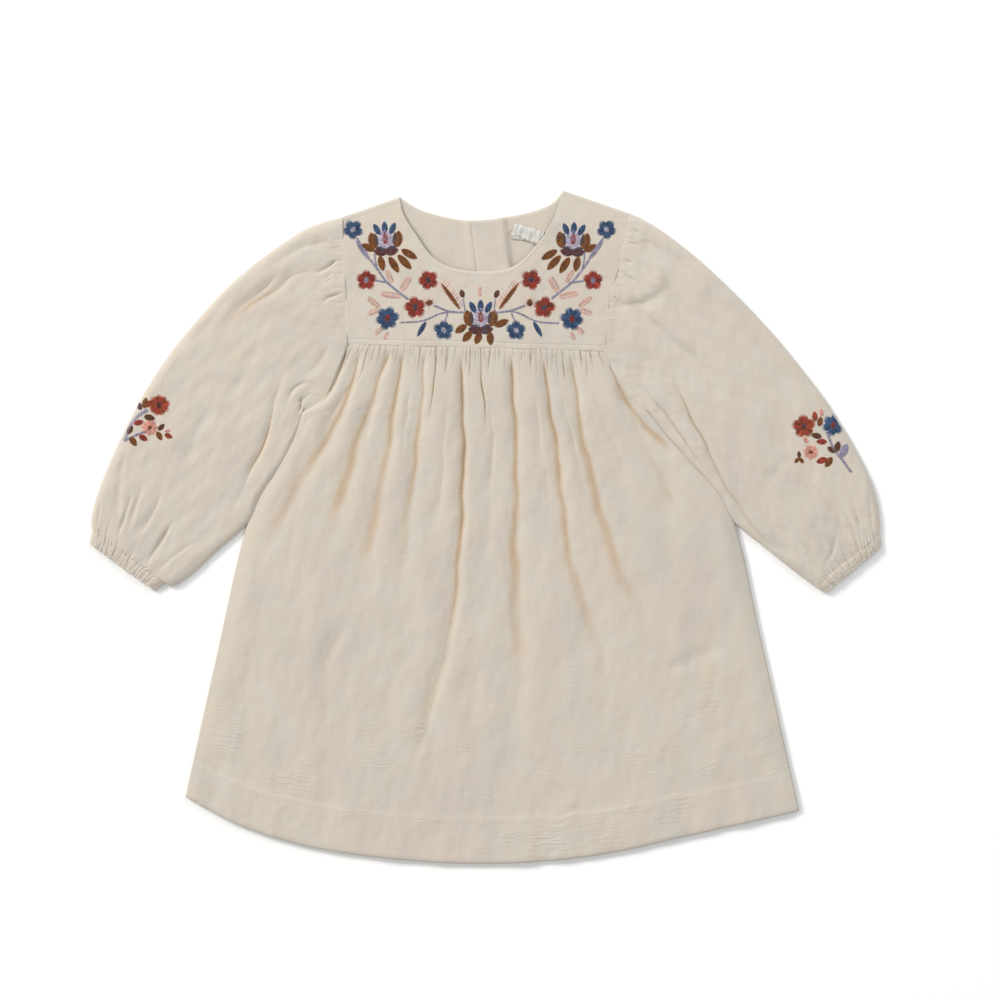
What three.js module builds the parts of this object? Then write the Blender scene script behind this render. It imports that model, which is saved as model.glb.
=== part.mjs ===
// A girl's long-sleeved dress of crinkled double gauze, laid flat on its back with the front up.
// Units are millimetres. X runs to the right of someone looking down at the front, Y runs from the hem
// to the neck, and Z runs up from the surface that the dress lies on. The origin lies on that surface,
// under the middle of the dress. Left and right are those of someone looking down at it.

import * as THREE from "three";

// Cloth and gaps
const CLOTH = 1.2; // one ply of double gauze
const PLY_GAP = 0.3; // air between two plies that lie on each other
const SEAM_GAP = 0.3; // between two pieces that are sewn edge to edge along a straight line
const ARMHOLE_GAP = 1.0; // the same along the curved armhole
const SLEEVE_CLEARANCE = 1.4; // between a sleeve and the side of the skirt that it lies against
const HEM_DEPTH = 30; // height of the turned-up hem
const HEM_PLY = 0.4; // how much thicker the turned-up hem makes the cloth

// Heights above the surface
const BACK_TOP = CLOTH;
const FRONT_LOW = BACK_TOP + PLY_GAP; // underside of the front where it is pressed on the back
const HOLLOW_TOP = 4.9; // highest that the underside of the front rises between the folds
const BUTTON_THICK = 1.2;
const UNDER_PLACKET = BUTTON_THICK + PLY_GAP; // underside of the outer placket, over the buttons
const OVER_PLACKET = UNDER_PLACKET + CLOTH + PLY_GAP; // underside of the inner placket
const FRONT_OVER_PLACKET = OVER_PLACKET + CLOTH + PLY_GAP;
const FRONT_AT_ARMHOLE = 3.0; // underside of the front along the armholes

// Outline corners
const NECK_LEFT = [-67, 257];
const NECK_RIGHT = [61, 262];
const SHOULDER_LEFT = [-113, 241];
const SHOULDER_RIGHT = [113, 244];
const YOKE_LEFT = [-109, 142];
const YOKE_RIGHT = [93.5, 136.5];
const UNDERARM_LEFT = [-144, 89];
const UNDERARM_RIGHT = [128, 88];
const HEM_LEFT = [-234, -211];
const HEM_RIGHT = [245, -222];

// Outline stretches between the corners, each as points on a smooth curve
const ARMHOLE_LEFT_UPPER = [SHOULDER_LEFT, [-112, 215], [-110, 179], YOKE_LEFT];
const ARMHOLE_LEFT_LOWER = [YOKE_LEFT, [-116, 124], [-127, 100], UNDERARM_LEFT];
const ARMHOLE_RIGHT_UPPER = [SHOULDER_RIGHT, [107, 211], [97, 176], YOKE_RIGHT];
const ARMHOLE_RIGHT_LOWER = [YOKE_RIGHT, [101, 121], [112, 103], UNDERARM_RIGHT];
const SIDE_LEFT = [UNDERARM_LEFT, [-150, 68], [-160, 48], [-185, 4], [-211, -107], HEM_LEFT];
const SIDE_RIGHT = [UNDERARM_RIGHT, [142, 70], [159, 51], [193, 6], [216, -92], HEM_RIGHT];
const FRONT_NECK = [
  NECK_LEFT, [-64, 244], [-55, 229], [-41, 210], [-23, 201],
  [3, 199], [22, 203], [36, 215], [50, 234], NECK_RIGHT,
];
const BACK_NECK = [NECK_LEFT, [-48, 246], [-11, 238.5], [27, 243.5], [50, 251], NECK_RIGHT];
const HEM = [HEM_LEFT, [-184, -236], [-115, -254], [-15, -263], [77, -258], [160, -241], HEM_RIGHT];

// The back opening: its two halves lap over each other by the width of a placket
const PLACKET_TOP = [-11.5, 238.5]; // top of the free edge of the inner half
const PLACKET_LOW = [0.5, 138]; // the same edge at the yoke seam
const PLACKET_WIDTH = 20;
const PLACKET_RISE = 6; // width over which a half rises onto what lies under it
const BUTTON_RADIUS = 4.5;
const BUTTON_COUNT = 3;

// Gathers under the yoke: x along the seam, sideways lean and reach down to the end, and depth
const YOKE_GATHERS = [
  { x: -103, lean: -14, reach: 26, depth: 1.0 },
  { x: -90, lean: -15, reach: 37, depth: 1.4 },
  { x: -82, lean: -5, reach: 16, depth: 0.9 },
  { x: -56, lean: -2, reach: 14, depth: 0.9 },
  { x: -38.5, lean: -6, reach: 67, depth: 1.5 },
  { x: -30, lean: -2, reach: 27, depth: 1.3 },
  { x: -12, lean: -1, reach: 30, depth: 1.1 },
  { x: -4, lean: 6, reach: 82, depth: 1.4 },
  { x: 3.5, lean: -2, reach: 28, depth: 1.1 },
  { x: 11, lean: -1, reach: 15, depth: 0.9 },
  { x: 28, lean: 0, reach: 15, depth: 0.9 },
  { x: 35.5, lean: 0, reach: 22, depth: 1.2 },
  { x: 51.5, lean: 1, reach: 18, depth: 1.0 },
  { x: 59, lean: 6, reach: 32, depth: 1.2 },
  { x: 74, lean: 2, reach: 20, depth: 1.0 },
  { x: 81, lean: 4, reach: 18, depth: 1.0 },
  { x: 88, lean: 5, reach: 14, depth: 0.9 },
];

// Long folds of the front: points down the bottom of the trough, its half width at both ends, and its depth
const SKIRT_FOLDS = [
  { path: [[-96, 142], [-111, 92], [-122, 71], [-160, 8], [-178, -40]], from: 2.5, to: 9, depth: 2.6 },
  { path: [[-73, 141], [-95, 81], [-112, 25], [-131, -37]], from: 2.4, to: 9, depth: 2.8 },
  { path: [[-64, 141], [-76, 61], [-87, 5], [-98, -60]], from: 2.2, to: 9, depth: 2.6 },
  { path: [[-47, 140], [-53, 67], [-66, -26], [-78, -70]], from: 2.0, to: 8, depth: 2.2 },
  { path: [[-20, 140], [-17, 66], [-21, -26], [-33, -106], [-74, -228]], from: 2.2, to: 10, depth: 3.0 },
  { path: [[19.5, 139], [24, 55], [23, -26], [26, -106], [31, -170]], from: 2.2, to: 9, depth: 3.0 },
  { path: [[43.5, 138], [55, 63], [66, -26], [86, -90], [99, -165]], from: 2.2, to: 9, depth: 2.8 },
  { path: [[66.5, 138], [77, 63], [101, -26], [113, -51], [133, -104]], from: 2.2, to: 10, depth: 2.8 },
  { path: [[101, 118], [114, 92], [122, 64], [140, 33], [160, -20]], from: 3, to: 9, depth: 2.0 },
  { path: [[-110, -76], [-123, -102], [-127, -130], [-129, -168]], from: 5, to: 9, depth: 1.8 },
  { path: [[-186, -90], [-190, -149], [-194, -200]], from: 7, to: 10, depth: 1.4 },
  { path: [[-7, -100], [-13, -146], [-14, -190]], from: 7, to: 9, depth: 1.2 },
  { path: [[177, -70], [174, -128], [179, -178]], from: 7, to: 9, depth: 1.5 },
];

// Sections across each sleeve, from the armhole to the cuff: a point on its outer edge, a point on its
// underarm edge, and the height of the cloth between them. Where the sleeve lies against the skirt, the
// table holds only the y of the underarm point. The last row is the opening of the cuff.
const SLEEVE_LEFT = [
  { outer: SHOULDER_LEFT, under: UNDERARM_LEFT, height: 4.4 },
  { outer: [-126, 237.5], sideY: 86, height: 4.9 },
  { outer: [-144, 230], sideY: 72, height: 5.3 },
  { outer: [-174, 209.5], sideY: 52, height: 5.8 },
  { outer: [-197, 190.5], sideY: 37, height: 6.0 },
  { outer: [-216, 171], sideY: 22, height: 6.0 },
  { outer: [-233, 151.5], sideY: 6, height: 5.8 },
  { outer: [-249, 131], under: [-192.5, -3.5], height: 5.6 },
  { outer: [-264, 108], under: [-204, -14], height: 5.5 },
  { outer: [-277, 84], under: [-215, -24.5], height: 5.6 },
  { outer: [-289, 59], under: [-226, -35], height: 5.8 },
  { outer: [-299.5, 34], under: [-235, -42], height: 6.0 },
  { outer: [-305.5, 15], under: [-241, -45.5], height: 6.0 },
  { outer: [-307.5, 4], under: [-245.5, -46.5], height: 5.6 },
  { outer: [-307, -4], under: [-250.5, -44.5], height: 5.2 },
  { outer: [-309, -13], under: [-257.5, -50.5], height: 4.8 },
];
const SLEEVE_RIGHT = [
  { outer: SHOULDER_RIGHT, under: UNDERARM_RIGHT, height: 4.4 },
  { outer: [124, 239], sideY: 83, height: 4.9 },
  { outer: [142, 227.5], sideY: 70, height: 5.3 },
  { outer: [163, 211], sideY: 59.5, height: 5.8 },
  { outer: [184, 192], sideY: 49, height: 6.0 },
  { outer: [205, 171], sideY: 37, height: 6.0 },
  { outer: [226, 148], sideY: 22, height: 5.8 },
  { outer: [246, 123.5], sideY: 6, height: 5.6 },
  { outer: [265, 98.5], under: [204, -5], height: 5.5 },
  { outer: [280, 75], under: [215, -14], height: 5.6 },
  { outer: [292, 54], under: [226, -23], height: 5.8 },
  { outer: [302, 32], under: [236, -31], height: 6.0 },
  { outer: [306.5, 15], under: [244.5, -37.5], height: 6.0 },
  { outer: [308, 3], under: [251.5, -42.8], height: 5.6 },
  { outer: [308, -6], under: [257.5, -47], height: 5.2 },
  { outer: [309.5, -15], under: [265, -52], height: 4.8 },
];

// Folds of the sleeves, in the same columns as those of the skirt
const LEFT_SLEEVE_FOLDS = [
  { path: [[-116, 209], [-134, 201], [-158, 191], [-190, 168], [-214, 140]], from: 2.2, to: 9, depth: 1.8 },
  { path: [[-110, 182], [-121, 179], [-130, 172]], from: 2, to: 4, depth: 1.3 },
  { path: [[-158, 112], [-174, 68], [-182, 46], [-197, 14], [-206, -6]], from: 6, to: 5, depth: 1.8 },
  { path: [[-138, 116], [-152, 103], [-157, 84]], from: 3, to: 4, depth: 1.6 },
  { path: [[-282, 62], [-288, 34], [-289, 11], [-291, -6]], from: 5, to: 2.5, depth: 1.7 },
  { path: [[-257, 26], [-267, 2], [-274, -10], [-278, -22]], from: 5, to: 2.5, depth: 1.6 },
  { path: [[-222, 8], [-244, -15], [-262, -32]], from: 4, to: 2.5, depth: 1.2 },
];
const RIGHT_SLEEVE_FOLDS = [
  { path: [[115, 205], [138, 195], [149, 184], [153, 172], [168, 154]], from: 3, to: 7, depth: 1.3 },
  { path: [[121, 168], [147, 142], [158, 131], [171, 110]], from: 4, to: 8, depth: 1.3 },
  { path: [[138, 132], [160, 80], [195, 25], [214, -1], [238, -22], [262, -32]], from: 6, to: 4, depth: 1.9 },
  { path: [[284, 26], [290, 0], [294, -15]], from: 4, to: 2.5, depth: 1.5 },
  { path: [[270, 18], [283, 4], [290, -20]], from: 4, to: 2.5, depth: 1.6 },
  { path: [[275, -4], [267, -30]], from: 4, to: 2.5, depth: 1.3 },
];

// Gathers at the ends of a sleeve
const HEAD_GATHERS = 8; // small gathers over the upper half of the armhole
const HEAD_SPAN = [0.07, 0.46]; // share of the armhole that they take, from the shoulder
const HEAD_DEPTH = 1.1;
const HEAD_REACH = 2.2; // sections that they reach into the sleeve
const CUFF_GATHERS = 9; // gathers on the front of the cuff
const CUFF_DEPTH = 1.3;
const CUFF_REACH = 3.2;
const CASING_RUCHE = 1.0; // depth of the ruching on the elastic casing

// The plain woven label inside the back neck
const LABEL_WIDTH = 24;
const LABEL_HEIGHT = 11;
const LABEL_THICK = 1.0;
const LABEL_CENTRE = [33, 228];
const LABEL_TILT = THREE.MathUtils.degToRad(-14);

const cream = new THREE.MeshStandardMaterial({ color: 0xd9cdbc, roughness: 0.95, metalness: 0 });
const creamYoke = new THREE.MeshStandardMaterial({ color: 0xdcd2c2, roughness: 0.95, metalness: 0 });
const labelWhite = new THREE.MeshStandardMaterial({ color: 0xe9e6df, roughness: 0.8, metalness: 0 });
const buttonShell = new THREE.MeshStandardMaterial({ color: 0xe4dccb, roughness: 0.35, metalness: 0 });

const { lerp: mix, clamp, smoothstep } = THREE.MathUtils;

// A smooth plane curve through points, and points along it by length.
function curve(points) {
  return new THREE.SplineCurve(points.map(([x, y]) => new THREE.Vector2(x, y)));
}

function along(path, share) {
  return path.getPointAt(clamp(share, 0, 1));
}

// Two stretches of outline that meet in a corner, as one path by share of its whole length.
function joined(first, second) {
  const path = new THREE.CurvePath();
  path.add(curve(first));
  path.add(curve(second));
  return path;
}

function mix2(a, b, share) {
  return a.clone().lerp(b, share);
}

// A fold as short straight steps, with the running share of its length.
function traced(fold, steps = 24) {
  return { ...fold, line: curve(fold.path).getSpacedPoints(steps) };
}

// How far a fold presses the cloth down at a point: a soft trough that fades at its far end.
function trough(fold, x, y) {
  let best = Infinity;
  let share = 0;
  const steps = fold.line.length - 1;
  for (let i = 0; i < steps; i++) {
    const a = fold.line[i];
    const b = fold.line[i + 1];
    const dx = b.x - a.x;
    const dy = b.y - a.y;
    const t = clamp(((x - a.x) * dx + (y - a.y) * dy) / (dx * dx + dy * dy), 0, 1);
    const away = Math.hypot(x - a.x - t * dx, y - a.y - t * dy);
    if (away < best) {
      best = away;
      share = (i + t) / steps;
    }
  }
  const width = mix(fold.from, fold.to, share);
  const fade = 1 - smoothstep(share, 0.55, 1);
  return fold.depth * fade * Math.exp(-((best / width) ** 2));
}

// One closed solid between an outer and an inner sheet of points with the same rows and columns.
// A ringed sheet closes on itself across its columns, as a sleeve does.
function wall(name, outer, inner, material, ringed = false) {
  const rows = outer.length;
  const columns = outer[0].length;
  const lastColumn = ringed ? columns : columns - 1;
  const at = (layer, row, column) => (layer * rows + row) * columns + (column % columns);
  const index = [];
  const quad = (a, b, c, d) => index.push(a, b, c, a, c, d);
  for (let c = 0; c < lastColumn; c++) {
    for (let r = 0; r < rows - 1; r++) {
      quad(at(0, r, c), at(0, r + 1, c), at(0, r + 1, c + 1), at(0, r, c + 1));
      quad(at(1, r, c), at(1, r, c + 1), at(1, r + 1, c + 1), at(1, r + 1, c));
    }
    quad(at(0, 0, c), at(0, 0, c + 1), at(1, 0, c + 1), at(1, 0, c));
    quad(at(0, rows - 1, c), at(1, rows - 1, c), at(1, rows - 1, c + 1), at(0, rows - 1, c + 1));
  }
  for (let r = 0; r < rows - 1 && !ringed; r++) {
    quad(at(0, r, 0), at(1, r, 0), at(1, r + 1, 0), at(0, r + 1, 0));
    quad(at(0, r, lastColumn), at(0, r + 1, lastColumn), at(1, r + 1, lastColumn), at(1, r, lastColumn));
  }
  const points = [...outer, ...inner].flat();
  if (signedVolume(points, index) < 0) index.reverse();
  const geometry = new THREE.BufferGeometry().setFromPoints(points).setIndex(index);
  geometry.computeVertexNormals();
  const mesh = new THREE.Mesh(geometry, material);
  mesh.name = name;
  return mesh;
}

function signedVolume(points, index) {
  let six = 0;
  for (let i = 0; i < index.length; i += 3) {
    const [a, b, c] = [points[index[i]], points[index[i + 1]], points[index[i + 2]]];
    six += a.dot(new THREE.Vector3().crossVectors(b, c));
  }
  return six / 6;
}

// The underside of a ply whose top follows a height function: thicker upright where the cloth slopes,
// so that the wall keeps its thickness, and never higher than the hollow may be.
function underside(height, x, y) {
  const step = 1;
  const slopeX = (height(x + step, y) - height(x - step, y)) / (2 * step);
  const slopeY = (height(x, y + step) - height(x, y - step)) / (2 * step);
  const upright = CLOTH * Math.min(Math.hypot(1, slopeX, slopeY), 1.8);
  return clamp(height(x, y) - upright, FRONT_LOW, HOLLOW_TOP);
}

// The front yoke

// The y of a straight line through two points, at any x.
function lineY([x0, y0], [x1, y1], x) {
  return mix(y0, y1, (x - x0) / (x1 - x0));
}

// The y of the shoulder seams, and of a line from one to the other over the neck.
function shoulderY(x) {
  if (x < NECK_LEFT[0]) return lineY(SHOULDER_LEFT, NECK_LEFT, x);
  if (x > NECK_RIGHT[0]) return lineY(NECK_RIGHT, SHOULDER_RIGHT, x);
  return lineY(NECK_LEFT, NECK_RIGHT, x);
}

// The y of the seam between the yoke and the skirt.
function seamY(x) {
  return lineY(YOKE_LEFT, YOKE_RIGHT, x);
}

// Top of the front ply before any fold: it rises from the shoulder seams and is highest over the placket.
function frontLevel(x, y) {
  const fromShoulder = smoothstep(shoulderY(x) - y, 0, 26);
  const overPlacket = 1 - smoothstep(Math.abs(x), 22, 95);
  const rise = FRONT_AT_ARMHOLE - FRONT_LOW + (FRONT_OVER_PLACKET - FRONT_AT_ARMHOLE) * overPlacket;
  return FRONT_LOW + rise * fromShoulder + CLOTH;
}

// Rows of points from a lower edge to an upper edge, as long as both have the same number of points.
// The first and last columns follow the armholes, and their bulge dies away towards the middle.
function columnsBetween(lower, upper, rows, leftSide, rightSide) {
  const count = lower.length - 1;
  return Array.from({ length: rows + 1 }, (_, r) => {
    const up = r / rows;
    const bulgeLeft = along(leftSide, 1 - up).sub(mix2(lower[0], upper[0], up));
    const bulgeRight = along(rightSide, 1 - up).sub(mix2(lower[count], upper[count], up));
    return lower.map((low, c) => {
      const across = c / count;
      const fadeLeft = Math.max(0, 1 - across * 5);
      const fadeRight = Math.max(0, 1 - (1 - across) * 5);
      const point = mix2(low, upper[c], up);
      return point.addScaledVector(bulgeLeft, fadeLeft).addScaledVector(bulgeRight, fadeRight);
    });
  });
}

// The upper edge of a yoke: left shoulder, neckline and right shoulder.
function upperEdge(neck, shoulderSteps, neckSteps) {
  const left = curve([SHOULDER_LEFT, NECK_LEFT]).getPoints(shoulderSteps);
  const middle = curve(neck).getSpacedPoints(neckSteps);
  const right = curve([NECK_RIGHT, SHOULDER_RIGHT]).getPoints(shoulderSteps);
  return [...left.slice(0, -1), ...middle, ...right.slice(1)];
}

function frontYoke() {
  const upper = upperEdge(FRONT_NECK, 4, 20);
  const width = SHOULDER_RIGHT[0] - SHOULDER_LEFT[0];
  const lower = upper.map((p) => {
    const x = mix(YOKE_LEFT[0], YOKE_RIGHT[0], (p.x - SHOULDER_LEFT[0]) / width);
    return new THREE.Vector2(x, seamY(x));
  });
  const plan = columnsBetween(lower, upper, 9, curve(ARMHOLE_LEFT_UPPER), curve(ARMHOLE_RIGHT_UPPER));
  const inset = plan.map((row) => row.map((p) => new THREE.Vector2(insetX(p.x), p.y)));
  const outer = inset.map((row) => row.map((p) => new THREE.Vector3(p.x, p.y, frontLevel(p.x, p.y))));
  const inner = outer.map((row) => row.map((p) => new THREE.Vector3(p.x, p.y, p.z - CLOTH)));
  return wall("front_yoke", outer, inner, creamYoke);
}

// Draws the body in by half an armhole gap on each side.
function insetX(x) {
  return x - Math.sign(x) * (ARMHOLE_GAP / 2) * smoothstep(Math.abs(x), 60, 90);
}

// The back yoke, in two halves that lap at the middle

function placketX(y, offset) {
  const share = (y - PLACKET_LOW[1]) / (PLACKET_TOP[1] - PLACKET_LOW[1]);
  return mix(PLACKET_LOW[0], PLACKET_TOP[0], share) + offset;
}

function backNeckY(x) {
  const points = curve(BACK_NECK).getSpacedPoints(60);
  const after = Math.max(1, points.findIndex((p) => p.x >= x));
  const [a, b] = [points[after - 1], points[after]];
  return mix(a.y, b.y, (x - a.x) / (b.x - a.x));
}

// One half as columns from the seam to the upper edge. The columns near the placket keep their distance
// from its edge, and their height depends on that distance alone. The others spread to the armhole.
function backYokeHalf(name, corners, offsets, heightAt) {
  const { shoulder, corner, neck, armhole } = corners;
  const lowY = seamY(0) + SEAM_GAP;
  const columns = offsets.map((offset) => {
    const topX = placketX(PLACKET_TOP[1], offset);
    return {
      low: new THREE.Vector2(placketX(lowY, offset), lowY),
      high: new THREE.Vector2(topX, backNeckY(topX)),
      z: heightAt(offset),
    };
  });
  const start = columns[columns.length - 1];
  const spread = 4;
  const lowEnd = new THREE.Vector2(corner[0], corner[1] + SEAM_GAP);
  for (let i = 1; i <= 2 * spread; i++) {
    const share = i / spread;
    const neckX = mix(start.high.x, neck[0], share);
    const onNeck = new THREE.Vector2(neckX, i < spread ? backNeckY(neckX) : neck[1]);
    const onShoulder = mix2(new THREE.Vector2(...neck), new THREE.Vector2(...shoulder), share - 1);
    columns.push({ low: mix2(start.low, lowEnd, share / 2), high: i <= spread ? onNeck : onShoulder, z: 0 });
  }
  const rows = 9;
  const last = columns[columns.length - 1];
  const outer = Array.from({ length: rows + 1 }, (_, r) => {
    const up = r / rows;
    const bulge = along(curve(armhole), 1 - up).sub(mix2(last.low, last.high, up));
    return columns.map(({ low, high, z }, c) => {
      const fade = [1, 0.4][columns.length - 1 - c] ?? 0;
      const p = mix2(low, high, up).addScaledVector(bulge, fade);
      return new THREE.Vector3(insetX(p.x), Math.max(p.y, low.y), z + CLOTH);
    });
  });
  const inner = outer.map((row) => row.map((p) => new THREE.Vector3(p.x, p.y, p.z - CLOTH)));
  return wall(name, outer, inner, creamYoke);
}

// The outer half lies lowest. It rises over the buttons, and its hidden edge is a placket's width past
// the free edge of the inner half, which rises over it.
function backYokes() {
  const leftCorners = {
    shoulder: SHOULDER_LEFT, corner: YOKE_LEFT, neck: NECK_LEFT, armhole: ARMHOLE_LEFT_UPPER,
  };
  const rightCorners = {
    shoulder: SHOULDER_RIGHT, corner: YOKE_RIGHT, neck: NECK_RIGHT, armhole: ARMHOLE_RIGHT_UPPER,
  };
  const leftStart = -2;
  const rightEnd = PLACKET_WIDTH + 1;
  const left = [PLACKET_WIDTH, PLACKET_WIDTH / 2, 0, leftStart, leftStart - PLACKET_RISE];
  const right = [0, PLACKET_WIDTH / 2, rightEnd, rightEnd + PLACKET_RISE * 1.5];
  return [
    backYokeHalf("back_yoke_left", leftCorners, left, (o) => (o >= leftStart ? UNDER_PLACKET : 0)),
    backYokeHalf("back_yoke_right", rightCorners, right, (o) => (o <= rightEnd ? OVER_PLACKET : 0)),
  ];
}

// Small flat buttons on the outside of the placket, under the back, with a rim and a dished middle.
function backButtons() {
  const rim = 1.2;
  const dish = 0.4;
  const profile = [
    [0, 0], [BUTTON_RADIUS - 0.4, 0], [BUTTON_RADIUS, 0.4], [BUTTON_RADIUS, BUTTON_THICK],
    [BUTTON_RADIUS - rim, BUTTON_THICK], [BUTTON_RADIUS - rim - 0.4, BUTTON_THICK - dish],
    [0, BUTTON_THICK - dish],
  ].map(([r, z]) => new THREE.Vector2(r, z));
  const highest = PLACKET_TOP[1] - 14;
  const spacing = 32;
  return Array.from({ length: BUTTON_COUNT }, (_, i) => {
    const button = new THREE.Mesh(new THREE.LatheGeometry(profile, 14), buttonShell);
    const y = highest - i * spacing;
    button.rotation.x = Math.PI / 2;
    button.position.set(placketX(y, PLACKET_WIDTH / 2), y, 0);
    button.name = `back_button_${i + 1}`;
    return button;
  });
}

// The skirt

const skirtLeft = joined(ARMHOLE_LEFT_LOWER, SIDE_LEFT);
const skirtRight = joined(ARMHOLE_RIGHT_LOWER, SIDE_RIGHT);
const hemCurve = curve(HEM);

// A point of the skirt by its share across, from left to right, and down, from the yoke to the hem.
function skirtPoint(across, down) {
  const left = along(skirtLeft, down);
  const right = along(skirtRight, down);
  const chord = mix2(left, right, across);
  const top = mix2(new THREE.Vector2(...YOKE_LEFT), new THREE.Vector2(...YOKE_RIGHT), across);
  const topChord = mix2(along(skirtLeft, 0), along(skirtRight, 0), across);
  const hem = along(hemCurve, across);
  const hemChord = mix2(along(skirtLeft, 1), along(skirtRight, 1), across);
  chord.addScaledVector(top.sub(topChord), 1 - down);
  chord.addScaledVector(hem.sub(hemChord), down * down);
  const edge = smoothstep(Math.abs(across - 0.5), 0.4, 0.5);
  const sideGap = mix(ARMHOLE_GAP, SLEEVE_CLEARANCE, smoothstep(down, 0.05, 0.2)) / 2;
  chord.x -= Math.sign(across - 0.5) * edge * sideGap;
  chord.y -= SEAM_GAP * (1 - smoothstep(down, 0, 0.1)) + edge * 0.3 * (1 - smoothstep(down, 0.1, 0.25));
  return chord;
}

const yokeGathers = YOKE_GATHERS.map(({ x, lean, reach, depth }) => {
  const end = [x + lean, seamY(x) - reach];
  const middle = [x + lean * 0.4, seamY(x) - reach * 0.5];
  return traced({ path: [[x, seamY(x) + 2], middle, end], from: 1.7, to: 2.6 + reach / 25, depth }, 8);
});
const skirtFolds = [...yokeGathers, ...SKIRT_FOLDS.map((f) => traced(f))];

// Height of the top of the front skirt.
function skirtHeight(x, y) {
  const below = seamY(x) - y;
  const level = mix(frontLevel(x, seamY(x)) + 0.6, 6.4, smoothstep(below, 0, 60));
  const towardsHem = mix(level, 3.9, smoothstep(below, 150, 400));
  const pressed = skirtFolds.reduce((sum, fold) => sum + trough(fold, x, y), 0);
  return Math.max(towardsHem - pressed, FRONT_LOW + CLOTH);
}

// The columns of the skirt run through the bottom of each gather and fold and the ridges between them.
function skirtColumns() {
  const width = YOKE_RIGHT[0] - YOKE_LEFT[0];
  const bottoms = [...YOKE_GATHERS.map((g) => g.x), ...SKIRT_FOLDS.slice(0, 8).map((f) => f.path[0][0])];
  bottoms.sort((a, b) => a - b);
  const xs = [YOKE_LEFT[0], ...bottoms, YOKE_RIGHT[0]];
  const stepsFor = (gap) => (gap > 9 ? [0.25, 0.5, 0.75, 1] : gap > 5 ? [1 / 3, 2 / 3, 1] : [0.5, 1]);
  const fine = xs.slice(1).flatMap((x, i) => stepsFor(x - xs[i]).map((t) => mix(xs[i], x, t)));
  const shares = [0, ...fine.map((x) => (x - YOKE_LEFT[0]) / width)];
  const edge = [0.006, 0.014];
  return [0, ...edge, ...shares.filter((s) => s > 0.02 && s < 0.98), ...edge.map((e) => 1 - e).reverse(), 1];
}

// Where the columns that run through the long folds lie across the skirt at one height, so that the
// bottom of each trough and the ridges beside it stay on the same columns all the way down.
const LED_FOLDS = SKIRT_FOLDS.slice(0, 8).map(({ path }) => ({
  start: path[0][0],
  line: curve(path).getSpacedPoints(60),
}));

function foldShare(fold, down, before) {
  const seam = (fold.start - YOKE_LEFT[0]) / (YOKE_RIGHT[0] - YOKE_LEFT[0]);
  const { y } = skirtPoint(seam, down);
  const { line } = fold;
  if (y >= line[0].y) return seam;
  if (y <= line[line.length - 1].y) return before;
  const point = line.find((p) => p.y <= y);
  const [left, right] = [skirtPoint(0, down), skirtPoint(1, down)];
  return (point.x - left.x) / (right.x - left.x);
}

// Pairs of a share at the seam and the share of the same column at each row.
function columnGuides(rows) {
  const seams = LED_FOLDS.map((f) => (f.start - YOKE_LEFT[0]) / (YOKE_RIGHT[0] - YOKE_LEFT[0]));
  let before = seams;
  return rows.map((down) => {
    before = LED_FOLDS.map((fold, i) => foldShare(fold, down, before[i]));
    return { seams: [0, ...seams, 1], shares: [0, ...before, 1] };
  });
}

function guided(guide, share) {
  const i = Math.max(1, guide.seams.findIndex((s) => s >= share));
  const t = (share - guide.seams[i - 1]) / (guide.seams[i] - guide.seams[i - 1]);
  return mix(guide.shares[i - 1], guide.shares[i], t);
}

// Shares down the front skirt at which it has a row of points; the cloth gets thicker where the hem starts.
const HEM_START = 1 - HEM_DEPTH / skirtLeft.getLength();
const SKIRT_ROWS = [
  0, 0.02, 0.05, 0.09, 0.135, 0.175, 0.22, 0.27, 0.33, 0.42, 0.52, 0.63, 0.75, 0.87, HEM_START,
  HEM_START + 0.01, 1,
];

function frontSkirt() {
  const columns = skirtColumns();
  const outer = [];
  const inner = [];
  const guides = columnGuides(SKIRT_ROWS);
  for (const [row, down] of SKIRT_ROWS.entries()) {
    const plan = columns.map((share) => skirtPoint(guided(guides[row], share), down));
    const [left, right] = [plan[0].x, plan[plan.length - 1].x];
    const rounded = (x, y) => {
      const fromEdge = clamp(Math.min(x - left, right - x) / 16, 0, 1);
      const low = FRONT_LOW + CLOTH;
      return mix(low, skirtHeight(x, y), Math.sin((fromEdge * Math.PI) / 2));
    };
    const hemPly = down > HEM_START ? HEM_PLY : 0;
    outer.push(plan.map((p) => new THREE.Vector3(p.x, p.y, rounded(p.x, p.y) + hemPly)));
    inner.push(plan.map((p) => new THREE.Vector3(p.x, p.y, underside(rounded, p.x, p.y))));
  }
  return wall("front_skirt", outer, inner, cream);
}

// The back skirt lies flat on the surface, with the same outline as the front.
function backSkirt() {
  const steps = 44;
  const shares = Array.from({ length: steps + 1 }, (_, i) => i / steps);
  const left = shares.map((s) => skirtPoint(0, s));
  const hem = shares.map((s) => skirtPoint(s, 1));
  const right = shares.map((s) => skirtPoint(1, 1 - s));
  const outline = [...left, ...hem.slice(1), ...right.slice(1)];
  const solid = new THREE.ExtrudeGeometry(new THREE.Shape(outline), { depth: CLOTH, bevelEnabled: false });
  const mesh = new THREE.Mesh(solid, cream);
  mesh.name = "back_skirt";
  return mesh;
}

// Sleeves and cuffs

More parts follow.
